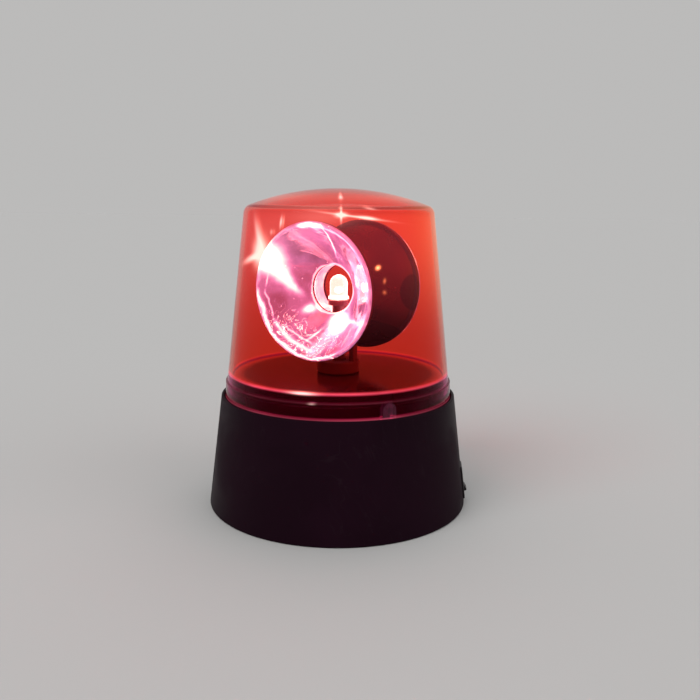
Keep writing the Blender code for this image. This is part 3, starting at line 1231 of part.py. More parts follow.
def build():
    clear_scene()
    base_black = plastic("base black", (0.011, 0.007, 0.010), 0.42)
    deck_black = plastic("deck black", (0.012, 0.008, 0.010), 0.30)
    gear_black = plastic("gear black", (0.020, 0.018, 0.020), 0.45)
    switch_black = plastic("switch black", (0.008, 0.007, 0.008), 0.30)
    dome_red = plastic("dome red", (0.75, 0.05, 0.03), 0.06, transmission=0.9)
    mirror = plastic("mirror", (0.85, 0.83, 0.84), 0.06, metallic=1.0)
    lamp_clear = plastic("lamp clear", (0.95, 0.95, 0.95), 0.03, transmission=0.95)
    steel = plastic("steel", (0.55, 0.55, 0.57), 0.32, metallic=1.0)
    brass = plastic("brass", (0.72, 0.58, 0.30), 0.35, metallic=1.0)
    jacket = plastic("cell jacket", (0.06, 0.10, 0.20), 0.40)
    green = plastic("board green", (0.02, 0.16, 0.07), 0.45)
    grey = plastic("can grey", (0.30, 0.31, 0.34), 0.35, metallic=0.5)
    lead_red = plastic("lead red", (0.55, 0.03, 0.03), 0.50)
    make_base_housing(base_black)
    make_deck(deck_black)
    make_dome(dome_red)
    make_gear_plate(gear_black)
    make_screws(steel)
    make_turret(gear_black, mirror)
    make_idler(gear_black, steel)
    make_motor(steel, gear_black, brass)
    make_lamp(gear_black, lamp_clear)
    make_battery_case(base_black)
    make_batteries(jacket, steel, brass)
    make_battery_door(base_black, steel)
    make_switch(base_black, switch_black, brass)
    make_driver(green, gear_black, grey)
    make_wires(lead_red, gear_black)


build()
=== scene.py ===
"""Looks of a battery beacon lamp: red dome, mirror bowls and a lit lamp on a black base.

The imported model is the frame, in metres, +Z up, with the switch at +X. Each sub-assembly is a class
that holds its sizes, builds its meshes as surfaces of two parameters and gives them their finishes.
"""

import json
import logging
import math
from dataclasses import dataclass, field
from enum import Enum
from typing import Callable, Sequence

import bmesh
import bpy
import numpy as np
from mathutils import Matrix, Vector


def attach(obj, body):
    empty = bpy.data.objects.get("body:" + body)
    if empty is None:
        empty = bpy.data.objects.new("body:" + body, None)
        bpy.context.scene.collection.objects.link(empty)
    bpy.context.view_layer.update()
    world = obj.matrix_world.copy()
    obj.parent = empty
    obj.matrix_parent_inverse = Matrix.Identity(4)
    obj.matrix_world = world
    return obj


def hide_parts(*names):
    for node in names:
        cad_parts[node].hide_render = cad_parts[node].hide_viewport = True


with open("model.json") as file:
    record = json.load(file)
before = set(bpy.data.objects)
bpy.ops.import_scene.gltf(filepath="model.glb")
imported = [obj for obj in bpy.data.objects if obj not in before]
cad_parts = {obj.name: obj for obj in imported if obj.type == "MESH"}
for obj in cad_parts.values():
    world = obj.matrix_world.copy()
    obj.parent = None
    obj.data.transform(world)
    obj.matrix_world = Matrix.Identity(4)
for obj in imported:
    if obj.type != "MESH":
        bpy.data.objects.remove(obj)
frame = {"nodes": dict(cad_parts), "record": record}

LOG = logging.getLogger("beacon")
Profile = np.ndarray
Triple = tuple[float, float, float]
Colour = tuple[float, float, float]
Range = tuple[float, float]

# What a relief adds to the radius of each point, from its radius, its angle and its height
Relief = Callable[[np.ndarray, np.ndarray, np.ndarray], np.ndarray]

Socket = bpy.types.NodeSocket
Tree = bpy.types.NodeTree
Piece = bpy.types.Object
Material = bpy.types.Material

# Fillet radii in metres, from the finest to the roundest
HAIR = 0.00015
FINE = 0.0002
PLAIN = 0.0003
SOFT = 0.0004
ROUND = 0.0005
FULL = 0.0006

# What a fillet takes up of a side at most, how far its guard points stand off as a share of what it
# takes up, and the half angle from which a corner counts as straight
SIDE_SHARE = 0.45
GUARD_SHARE = 0.35
STRAIGHT = math.radians(89.5)

# The least length of a side, and the least share by which an inset's corner is divided
LEAST_SIDE = 1e-12
LEAST_SHARE = 0.3

# Reach of the flat faces at a slab's ends, as a share of its outline
FLAT_SHARE = 0.9

# Points nearer than this are one point, and edges sharper than this stay sharp
WELD = 1e-6
CREASE = math.radians(40)

# The least angle between an even column of a turned piece and a finer one
LEAST_GAP = 0.004

# Sides of the small upright tubes, and points of a quarter turn's fine arc
TUBE_SIDES = 48
ARC_POINTS = 13

# Slack for the choice of points that lie on a limit
TOUCH = 1e-5
NEAR = 1e-6

# Turns X to Y, Y to Z and Z to X
CYCLED = Matrix(((0, 0, 1, 0), (1, 0, 0, 0), (0, 1, 0, 0), (0, 0, 0, 1)))

MILLIMETRES = (1000.0,) * 3
NO_LIGHT = (0, 0, 0, 1)


class Body(Enum):
    """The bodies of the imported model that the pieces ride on."""

    BASE = "base"
    TURRET = "turret"
    ROCKER = "rocker"


class Facing(Enum):
    """Which way a reflector bowl looks along the turret's own Y axis."""

    FRONT = -1
    REAR = 1


@dataclass
class Surface:
    """Faces over points, as whole arrays.

    Attributes:
        points: One row of x, y and z for each point.
        faces: One row of four point numbers for each face.
    """

    points: np.ndarray
    faces: np.ndarray

    def moved(self, matrix: Matrix) -> "Surface":
        """The same surface under a transform.

        Args:
            matrix: A 4 by 4 transform.

        Returns:
            A new surface.
        """
        turn = np.array(matrix)
        return Surface(self.points @ turn[:3, :3].T + turn[:3, 3], self.faces)

    def joined(self, *others: "Surface") -> "Surface":
        """This surface and others as one.

        Args:
            others: The surfaces to add.

        Returns:
            A new surface that holds them all.
        """
        points, faces, count = [self.points], [self.faces], len(self.points)
        for other in others:
            points.append(other.points)
            faces.append(other.faces + count)
            count += len(other.points)
        return Surface(np.vstack(points), np.vstack(faces))


def quads(points: np.ndarray, wrap_rows: bool = False, wrap_columns: bool = False) -> Surface:
    """Quads over a grid: each face joins point (i, j) to its neighbours at i + 1 and j + 1.

    Args:
        points: Grid of points, rows by columns by 3.
        wrap_rows: Whether the last row joins the first.
        wrap_columns: Whether the last column joins the first.

    Returns:
        The grid as a surface.
    """
    rows, columns = points.shape[:2]
    numbers = np.arange(rows * columns).reshape(rows, columns)
    if wrap_rows:
        numbers = np.vstack([numbers, numbers[:1]])
    if wrap_columns:
        numbers = np.hstack([numbers, numbers[:, :1]])
    corners = (numbers[:-1, :-1], numbers[:-1, 1:], numbers[1:, 1:], numbers[1:, :-1])
    return Surface(points.reshape(-1, 3), np.stack(corners, axis=-1).reshape(-1, 4))


def filleted(corners: Sequence[Triple], closed: bool = True, steps: int = 6) -> Profile:
    """Outline through corners, each one rounded by an arc that touches both of its sides.

    A corner with sides along a and b, and half angle h between them, has its arc's centre on the line
    that halves the angle, at radius / sin h, and touches each side at radius / tan h.

    Args:
        corners: Rows of the two coordinates and the fillet radius, zero for a sharp corner.
        closed: Whether the last corner joins the first.
        steps: Faces on each arc.

    Returns:
        The points of the outline, with one more just outside each arc, which keeps the flats flat.
    """
    line: list[np.ndarray] = []
    count = len(corners)
    for number, (x, y, radius) in enumerate(corners):
        here = np.array((x, y), float)
        ends = not closed and number in (0, count - 1)
        if ends or radius <= 0:
            line.append(here[None])
            continue
        before = np.array(corners[number - 1][:2], float) - here
        after = np.array(corners[(number + 1) % count][:2], float) - here
        span = min(np.linalg.norm(before), np.linalg.norm(after))
        a, b = before / np.linalg.norm(before), after / np.linalg.norm(after)
        half = 0.5 * math.acos(float(np.clip(a @ b, -1, 1)))
        if half > STRAIGHT:
            line.append(here[None])
            continue
        radius = min(radius, SIDE_SHARE * span * math.tan(half))
        touch = radius / math.tan(half)
        centre = here + (a + b) / np.linalg.norm(a + b) * radius / math.sin(half)
        start, end = here + a * touch - centre, here + b * touch - centre
        turn = math.atan2(start[0] * end[1] - start[1] * end[0], float(start @ end))
        angles = turn * np.linspace(0, 1, steps + 1)
        cos, sin = np.cos(angles), np.sin(angles)
        arc = np.stack([start[0] * cos - start[1] * sin, start[0] * sin + start[1] * cos], axis=1)
        guard = GUARD_SHARE * touch
        line += [(here + a * (touch + guard))[None], centre + arc, (here + b * (touch + guard))[None]]
    return np.vstack(line)


def around(sides: int) -> np.ndarray:
    """Equally spaced angles round one turn."""
    return np.linspace(0, math.tau, sides, endpoint=False)


def turned(
    profile: Profile,
    angles: np.ndarray,
    closed: bool = True,
    whole: bool = True,
    relief: Relief | None = None,
) -> Surface:
    """Profile carried round Z: x is radius times cosine, y is radius times sine, z is height.

    Args:
        profile: Rows of radius and height.
        angles: The angle of each column.
        closed: Whether the profile closes on itself.
        whole: Whether the columns go all the way round.
        relief: What to add to the radius, from the radius, the angle and the height.

    Returns:
        The turned surface.
    """
    radius, height = (np.repeat(profile[:, i : i + 1], len(angles), axis=1) for i in (0, 1))
    angle = np.repeat(angles[None], len(profile), axis=0)
    if relief is not None:
        radius = radius + relief(radius, angle, height)
    grid = np.stack([radius * np.cos(angle), radius * np.sin(angle), height], axis=-1)
    return quads(grid, wrap_rows=closed, wrap_columns=whole)


def inset_outline(outline: Profile, distance: float) -> Profile:
    """Closed anticlockwise outline moved inwards, each point along the mean normal of its two sides.

    Args:
        outline: Rows of the two coordinates.
        distance: How far each side moves in.

    Returns:
        The outline with as many points.
    """
    side = np.roll(outline, -1, axis=0) - outline
    normal = np.stack([side[:, 1], -side[:, 0]], axis=1)
    normal /= np.maximum(np.linalg.norm(normal, axis=1, keepdims=True), LEAST_SIDE)
    before = np.roll(normal, 1, axis=0)
    mean = normal + before
    share = 1 + np.sum(normal * before, axis=1, keepdims=True)
    return outline - distance * mean / np.maximum(share, LEAST_SHARE)


def slab(outline: Profile, low: float, high: float, edge: float, steps: int = 5) -> Surface:
    """Flat piece with an outline and rounded edges, closed by a fan at each end.

    Level by level the outline moves in by edge times one minus the sine of an angle, while the height
    moves by edge times one minus its cosine: a quarter circle at the bottom and one at the top.

    Args:
        outline: Closed anticlockwise outline in x and y, seen whole from its middle.
        low: Height of the bottom.
        high: Height of the top.
        edge: Radius of the rounded edges.
        steps: Faces on each rounded edge.

    Returns:
        The closed surface.
    """
    angles = np.linspace(0, math.pi / 2, steps + 1)
    insets = edge * (1 - np.sin(angles))
    rises = edge * (1 - np.cos(angles))
    levels = [(d, low + r) for d, r in zip(insets, rises)]
    levels += [(d, high - r) for d, r in zip(insets[::-1], rises[::-1])]
    rings = [np.column_stack([inset_outline(outline, d), np.full(len(outline), z)]) for d, z in levels]
    middle = outline.mean(axis=0)
    ends = [np.tile((*middle, z), (len(outline), 1)) for z in (low, high)]
    flats = [
        np.column_stack([middle + (ring[:, :2] - middle) * FLAT_SHARE, ring[:, 2]])
        for ring in (rings[0], rings[-1])
    ]
    return quads(np.stack([ends[0], flats[0], *rings, flats[1], ends[1]]), wrap_columns=True)


def rounded_rectangle(half_x: float, half_y: float, corner: float, steps: int = 6) -> Profile:
    """Anticlockwise rectangle about the middle with round corners."""
    corners = [(sx * half_x, sy * half_y, corner) for sx, sy in ((1, -1), (1, 1), (-1, 1), (-1, -1))]
    return filleted(corners, steps=steps)


def tube(
    inner: float, outer: float, low: float, high: float, place: tuple[float, float], edge: float = PLAIN
) -> Surface:
    """Upright ring with rounded edges: a rectangle of radius and height carried round its own axis.

    Args:
        inner: Radius of the bore.
        outer: Outer radius.
        low: Height of the bottom.
        high: Height of the top.
        place: Where its axis stands.
        edge: Radius of the edges.

    Returns:
        The closed surface.
    """
    corners = [(inner, low, 0.0), (outer, low, edge), (outer, high, edge), (inner, high, 0.0)]
    return turned(filleted(corners, steps=3), around(TUBE_SIDES)).moved(Matrix.Translation((*place, 0)))


def ring_places(radius: float, first: float, count: int = 3) -> list[tuple[float, float]]:
    """Places spaced evenly round a circle, from a first angle."""
    turns = first + around(count)
    return [(radius * math.cos(turn), radius * math.sin(turn)) for turn in turns]


def wrapped(angle: np.ndarray) -> np.ndarray:
    """Angles brought to within half a turn of zero."""
    return (angle + math.pi) % math.tau - math.pi


def smoothstep(low: float, high: float, value: np.ndarray) -> np.ndarray:
    """Zero below low, one above high and a smooth rise of 3t² - 2t³ between."""
    t = np.clip((value - low) / (high - low), 0, 1)
    return t * t * (3 - 2 * t)


def make_piece(
    name: str, surface: Surface, body: Body, stands_for: Sequence[str] = ()
) -> Piece:
    """Puts a surface in the scene as a smooth piece that rides on a body.

    Args:
        name: Name of the piece.
        surface: Its mesh, in place.
        body: What it rides on.
        stands_for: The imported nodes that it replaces.

    Returns:
        The new object.
    """
    mesh = bpy.data.meshes.new(name)
    mesh.from_pydata(surface.points.tolist(), [], surface.faces.tolist())
    work = bmesh.new()
    work.from_mesh(mesh)
    bmesh.ops.remove_doubles(work, verts=work.verts, dist=WELD)
    bmesh.ops.recalc_face_normals(work, faces=work.faces)
    work.to_mesh(mesh)
    work.free()
    mesh.shade_smooth()
    mesh.set_sharp_from_angle(angle=CREASE)
    piece = bpy.data.objects.new(name, mesh)
    bpy.context.scene.collection.objects.link(piece)
    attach(piece, body.value)
    if stands_for:
        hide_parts(*stands_for)
    LOG.info("%s: %d faces on %s", name, len(mesh.polygons), body.value)
    return piece


def dress(piece: Piece, material: Material) -> None:
    """Gives a piece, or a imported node, one material in place of what it has."""
    piece.data.materials.clear()
    piece.data.materials.append(material)


class Nodes:
    """A node tree with short calls for making and joining its nodes."""

    def __init__(self, tree: Tree) -> None:
        """Keeps the tree to add to."""
        self.tree = tree

    def new(self, kind: str, inputs: dict | None = None, **settings: object) -> bpy.types.Node:
        """Adds a node.

        Args:
            kind: Its type, as Blender names it without the ShaderNode in front.
            inputs: For each input by name or number, a value or the socket that feeds it.
            settings: Its own properties.

        Returns:
            The node.
        """
        node = self.tree.nodes.new(kind if kind.startswith("Node") else "ShaderNode" + kind)
        for key, value in settings.items():
            setattr(node, key, value)
        self.fill(node, inputs or {})
        return node

    def fill(self, node: bpy.types.Node, inputs: dict) -> None:
        """Feeds or sets inputs of a node, each by its name or number."""
        for key, value in inputs.items():
            self.feed(node.inputs[key], value)

    def feed(self, socket: Socket, value: object) -> None:
        """Joins an output to a socket, or sets the socket to a value."""
        if isinstance(value, Socket):
            self.tree.links.new(value, socket)
        else:
            socket.default_value = value

    def maths(self, operation: str, *values: object) -> Socket:
        """Result of a Math node on up to three values."""
        return self.new("Math", dict(enumerate(values)), operation=operation).outputs[0]

    def times(self, first: object, second: object) -> Socket:
        """Product of two values."""
        return self.maths("MULTIPLY", first, second)

    def plus(self, first: object, second: object) -> Socket:
        """Sum of two values."""
        return self.maths("ADD", first, second)

    def minus(self, first: object, second: object) -> Socket:
        """The first value less the second."""
        return self.maths("SUBTRACT", first, second)

    def noise(self, place: object, scale: object, detail: float = 2.0, distortion: float = 0.0) -> Socket:
        """Soft noise at a place, about a half on average."""
        inputs = {"Vector": place, "Scale": scale, "Detail": detail, "Distortion": distortion}
        return self.new("TexNoise", inputs).outputs["Fac"]

    def place(self) -> Socket:
        """The object coordinates."""
        return self.new("TexCoord").outputs["Object"]

    def bell(self, *away: object) -> Socket:
        """E to the minus square of one distance, or to the minus sum of two squares.

        Args:
            away: The one or two distances, each in its own reach.

        Returns:
            The level, one in the middle.
        """
        squares = [self.maths("POWER", value, 2.0) for value in away]
        total = self.plus(*squares) if len(squares) > 1 else squares[0]
        return self.maths("EXPONENT", self.times(total, -1.0))

    def relief(self, shader: bpy.types.Node, height: object, strength: float, distance: float) -> None:
        """Gives a shader the fine relief of a height, in metres."""
        bump = self.new("Bump", {"Height": height, "Strength": strength, "Distance": distance})
        self.feed(shader.inputs["Normal"], bump.outputs["Normal"])

    def ramp(self, value: object, low: float, high: float, to: Range = (0.0, 1.0)) -> Socket:
        """Smooth rise from one value to another as the input goes from low to high."""
        inputs = {"Value": value, "From Min": low, "From Max": high, "To Min": to[0], "To Max": to[1]}
        return self.new("MapRange", inputs, interpolation_type="SMOOTHSTEP").outputs["Result"]

    def blend(self, share: object, first: object, second: object, kind: str = "MIX") -> Socket:
        """Colour between two colours, or their sum or product by the same share."""
        node = self.new("Mix", data_type="RGBA", blend_type=kind)
        for socket, value in zip((node.inputs[0], node.inputs[6], node.inputs[7]), (share, first, second)):
            self.feed(socket, value)
        return node.outputs[2]


def new_group(name: str, inputs: dict[str, float], outputs: Sequence[str]) -> tuple[Tree, Nodes]:
    """An empty shader node group with numbers as its inputs and outputs.

    Args:
        name: Name of the group.
        inputs: Its number inputs with their first values.
        outputs: Its number outputs.

    Returns:
        The group, and the helper that adds its nodes.
    """
    tree = bpy.data.node_groups.new(name, "ShaderNodeTree")
    for key, value in inputs.items():
        socket = tree.interface.new_socket(key, in_out="INPUT", socket_type="NodeSocketFloat")
        socket.default_value = value
    for key in outputs:
        tree.interface.new_socket(key, in_out="OUTPUT", socket_type="NodeSocketFloat")
    return tree, Nodes(tree)


class Effects:
    """Node groups that several finishes share, each built once.

    Attributes:
        coarse_scale: Scale of the grain's coarser noise, as a share of the finer one's.
    """

    coarse_scale = 0.22

    def __init__(self) -> None:
        """Builds every group."""
        self.grain = self._grain()
        self.mottle = self._mottle()
        self.scuffs = self._scuffs()

    def patches(self, nodes: Nodes, scale: float) -> Socket:
        """Soft patches at a scale, from zero to one, in a finish's own tree."""
        return nodes.new("Group", {"Scale": scale}, node_tree=self.mottle).outputs["Share"]

    def scratches(self, nodes: Nodes) -> Socket:
        """Mask of the fine scuffs, in a finish's own tree."""
        return nodes.new("Group", {}, node_tree=self.scuffs).outputs["Mask"]

    @staticmethod
    def _grain() -> Tree:
        """Fine spark-eroded texture of a mould: two scales of noise, one on the other."""
        tree, nodes = new_group("moulded grain", {"Scale": 2500.0, "Coarse Share": 0.4}, ("Height",))
        source, sink = nodes.new("NodeGroupInput"), nodes.new("NodeGroupOutput")
        place = nodes.place()
        fine = nodes.noise(place, source.outputs["Scale"])
        coarse = nodes.noise(place, nodes.times(source.outputs["Scale"], Effects.coarse_scale))
        low = nodes.times(coarse, source.outputs["Coarse Share"])
        nodes.feed(sink.inputs["Height"], nodes.plus(fine, low))
        return tree

    @staticmethod
    def _mottle() -> Tree:
        """Broad soft patches, as where hands have polished a surface or dust has settled."""
        tree, nodes = new_group("soft mottle", {"Scale": 40.0}, ("Share",))
        source, sink = nodes.new("NodeGroupInput"), nodes.new("NodeGroupOutput")
        noise = nodes.noise(nodes.place(), source.outputs["Scale"], 3.0, 0.4)
        nodes.feed(sink.inputs["Share"], nodes.ramp(noise, 0.35, 0.65))
        return tree

    @staticmethod
    def _scuffs() -> Tree:
        """Thin scratches: the narrow crests of a stretched noise, kept in patches."""
        tree, nodes = new_group("fine scuffs", {"Scale": 90.0, "Width": 0.012}, ("Mask",))
        source, sink = nodes.new("NodeGroupInput"), nodes.new("NodeGroupOutput")
        place = nodes.place()
        lean = nodes.new("Mapping", {"Vector": place, "Rotation": (0.5, 0.3, 0.9), "Scale": (1.0, 9.0, 1.0)})
        lines = nodes.noise(lean.outputs["Vector"], source.outputs["Scale"], 1.0, 0.6)
        crest = nodes.maths("ABSOLUTE", nodes.minus(lines, 0.5))
        thin = nodes.maths("LESS_THAN", crest, source.outputs["Width"])
        kept = nodes.ramp(nodes.noise(place, 55.0, 1.0), 0.5, 0.62)
        nodes.feed(sink.inputs["Mask"], nodes.times(thin, kept))
        return tree


def start_material(name: str) -> tuple[Material, Nodes, bpy.types.Node]:
    """A new material, the helper for its nodes, and its one Principled shader."""
    material = bpy.data.materials.new(name)
    material.use_nodes = True
    nodes = Nodes(material.node_tree)
    return material, nodes, material.node_tree.nodes["Principled BSDF"]


def pass_light(material: Material, nodes: Nodes, shader: bpy.types.Node, tint: Colour) -> None:
    """Lets the lights' rays through a clear wall as through a plain tinted film.

    Args:
        material: The wall's material.
        nodes: The helper for its nodes.
        shader: Its Principled shader.
        tint: Colour of the light that passes.
    """
    film = nodes.new("BsdfTransparent", {"Color": (*tint, 1)})
    path = nodes.new("LightPath")
    shares = {0: path.outputs["Is Shadow Ray"], 1: shader.outputs[0], 2: film.outputs[0]}
    mixed = nodes.new("MixShader", shares)
    nodes.feed(material.node_tree.nodes["Material Output"].inputs["Surface"], mixed.outputs[0])


@dataclass(frozen=True)
class MouldedPlastic:
    """Opaque moulded plastic, with its texture, soft patches and faint scuffs, and at will a painted light on
    the outer part of a round top.

    Attributes:
        name: Name of the material.
        colour: Its colour.
        roughness: Roughness where it is cleanest, and where it is dullest.
        grain_scale: How many grains lie along a metre.
        grain_depth: Strength of the texture's bump.
        scuff: How much lighter a scuff is.
        specular: Level of its sheen, where a half is that of plain plastic.
        halo: Colour of a painted light on the outer part of a round top, standing in for the light that falls
            there, or None.
        halo_reach: Radius at which that painted light starts, and where it is full.
        halo_height: Height under which none of that painted light shows, and where it is full.
        patch_scale: Scale of its soft patches.
        shade: Its colour where the patches are darkest, as a share of its colour.
        scuff_share: How much of a scuff's colour shows.
    """

    name: str
    colour: Colour
    roughness: Range = (0.38, 0.52)
    grain_scale: float = 2600.0
    grain_depth: float = 0.25
    scuff: float = 0.004
    specular: float = 0.3
    halo: Colour | None = None
    halo_reach: Range = (0.0345, 0.0400)
    halo_height: Range = (0.0503, 0.0506)
    patch_scale: float = 38.0
    shade: float = 0.82
    scuff_share: float = 0.5

    def build(self, effects: Effects) -> Material:
        """Makes the material.

        Args:
            effects: The shared node groups.

        Returns:
            The material.
        """
        material, nodes, shader = start_material(self.name)
        patches = effects.patches(nodes, self.patch_scale)
        scuffs = nodes.times(effects.scratches(nodes), self.scuff_share)
        light = tuple(min(1.0, c + self.scuff) for c in self.colour)
        shade = tuple(c * self.shade for c in self.colour)
        worn = nodes.blend(patches, (*shade, 1), (*self.colour, 1))
        nodes.feed(shader.inputs["Base Color"], nodes.blend(scuffs, worn, (*light, 1)))
        nodes.feed(shader.inputs["Roughness"], nodes.ramp(patches, 0, 1, self.roughness))
        grain = nodes.new("Group", {"Scale": self.grain_scale}, node_tree=effects.grain)
        nodes.relief(shader, grain.outputs["Height"], self.grain_depth, 0.0001)
        nodes.fill(shader, {"Specular IOR Level": self.specular})
        # Painted light: an emission on the outer part of a round top, standing in for the light that falls
        # there
        if self.halo:
            lit = nodes.blend(self._painted_halo_share(nodes), NO_LIGHT, (*self.halo, 1))
            nodes.fill(shader, {"Emission Color": lit, "Emission Strength": 1.0})
        return material

    def _painted_halo_share(self, nodes: Nodes) -> Socket:
        """Share of the painted halo's light: it rises with the radius from the upright axis, near the top
        alone.

        Args:
            nodes: The helper for the material's nodes.

        Returns:
            The share.
        """
        place = nodes.place()
        flat = nodes.new("VectorMath", {0: place, 1: (1.0, 1.0, 0.0)}, operation="MULTIPLY").outputs[0]
        radius = nodes.new("VectorMath", {0: flat}, operation="LENGTH").outputs["Value"]
        height = nodes.new("SeparateXYZ", {0: place}).outputs["Z"]
        outer, upper = nodes.ramp(radius, *self.halo_reach), nodes.ramp(height, *self.halo_height)
        return nodes.times(outer, upper)


@dataclass(frozen=True)
class BrightMetal:
    """Plated or drawn metal, with fine lines along one axis and dull patches.

    Attributes:
        name: Name of the material.
        colour: Colour of the metal.
        roughness: Roughness where it is brightest, and where it is dullest.
        line_scale: How the fine lines are stretched along x, y and z.
        dull: Its colour in the dull patches, as a share of its colour.
    """

    name: str
    colour: Colour
    roughness: Range = (0.22, 0.38)
    line_scale: Triple = (1.0, 1.0, 14.0)
    dull: float = 0.78

    def build(self, effects: Effects) -> Material:
        """Makes the material from the shared node groups."""
        material, nodes, shader = start_material(self.name)
        patches = effects.patches(nodes, 220.0)
        place = nodes.place()
        stretch = nodes.new("Mapping", {"Vector": place, "Scale": self.line_scale})
        lines = nodes.noise(stretch.outputs["Vector"], 900.0, 3.0)
        dull = tuple(c * self.dull for c in self.colour)
        nodes.feed(shader.inputs["Base Color"], nodes.blend(patches, (*dull, 1), (*self.colour, 1)))
        nodes.feed(shader.inputs["Roughness"], nodes.ramp(lines, 0.3, 0.7, self.roughness))
        nodes.relief(shader, lines, 0.15, 0.00005)
        nodes.fill(shader, {"Metallic": 1.0})
        return material


@dataclass(frozen=True)
class Spot:
    """Soft painted patch of light or of shade on a bowl, in millimetres across and up from the bowl's axis,
    or round the dome's wall.

    Attributes:
        across: Its middle, to the right of one who looks into the bowl.
        up: Its middle, upwards.
        width: Its reach across.
        height: Its reach upwards.
        lean: How far it leans to the left, as an angle.
        level: Its strength.
    """

    across: float
    up: float
    width: float
    height: float
    lean: float
    level: float


@dataclass(frozen=True)
class Streak:
    """Thin painted arc of light on a bowl.

    Attributes:
        radius: Its distance from the axis in millimetres.
        start: Angle where it starts.
        end: Angle where it ends.
        width: Its reach to each side in millimetres.
        level: Its strength.
    """

    radius: float
    start: float
    end: float
    width: float
    level: float


def bowl_place(nodes: Nodes, place: Socket, height: float, yaw: float) -> Socket:
    """Place about the bowls' axis in millimetres, with Y along that axis.

    Args:
        nodes: The helper for the material's nodes.
        place: The object coordinates.
        height: Height of the axis.
        yaw: Turn of the bowls about the lamp.

    Returns:
        The place as a vector.
    """
    inputs = {"Vector": place, "Scale": MILLIMETRES, "Rotation": (0, 0, -yaw)}
    return nodes.new("Mapping", {**inputs, "Location": (0, 0, -height * MILLIMETRES[2])}).outputs["Vector"]


def bowl_axes(nodes: Nodes, local: Socket, side: float) -> tuple[Socket, Socket]:
    """How far to the right and up a place is, as seen into each bowl, or from behind it.

    Args:
        nodes: The helper for the material's nodes.
        local: The place about the bowls' axis.
        side: One to look into the bowls, minus one to look at their backs.

    Returns:
        The two distances in millimetres.
    """
    axes = nodes.new("SeparateXYZ", {"Vector": local})
    flip = nodes.times(nodes.maths("SIGN", axes.outputs["Y"]), -side)
    return nodes.times(axes.outputs["X"], flip), axes.outputs["Z"]


def spot_level(nodes: Nodes, across: Socket, up: Socket, spot: Spot) -> Socket:
    """Level of one soft patch: e to the minus squared distance along its two leaning axes.

    Args:
        nodes: The helper for the material's nodes.
        across: Distance to the right.
        up: Distance up.
        spot: The patch.

    Returns:
        The level.
    """
    x = nodes.minus(across, spot.across)
    y = nodes.minus(up, spot.up)
    cos, sin = math.cos(spot.lean), math.sin(spot.lean)
    wide = nodes.plus(nodes.times(x, cos), nodes.times(y, sin))
    tall = nodes.minus(nodes.times(y, cos), nodes.times(x, sin))
    away = [nodes.maths("DIVIDE", v, r) for v, r in ((wide, spot.width), (tall, spot.height))]
    return nodes.times(nodes.bell(*away), spot.level)


def spots_level(
    nodes: Nodes, across: Socket, up: Socket, spots: Sequence[Spot], ground: object = 0.0
) -> object:
    """Sum of the levels of several soft patches and of a ground under them.

    Args:
        nodes: The helper for the material's nodes.
        across: Distance to the right.
        up: Distance up.
        spots: The patches.
        ground: Level where no patch is.

    Returns:
        The sum.
    """
    for spot in spots:
        ground = nodes.plus(ground, spot_level(nodes, across, up, spot))
    return ground


@dataclass(frozen=True)
class Band:
    """Soft painted band of light round the dome, in millimetres.

    Attributes:
        height: Height of its middle.
        reach: Its reach up and down.
        level: Its strength.
    """

    height: float
    reach: float
    level: float = 1.0


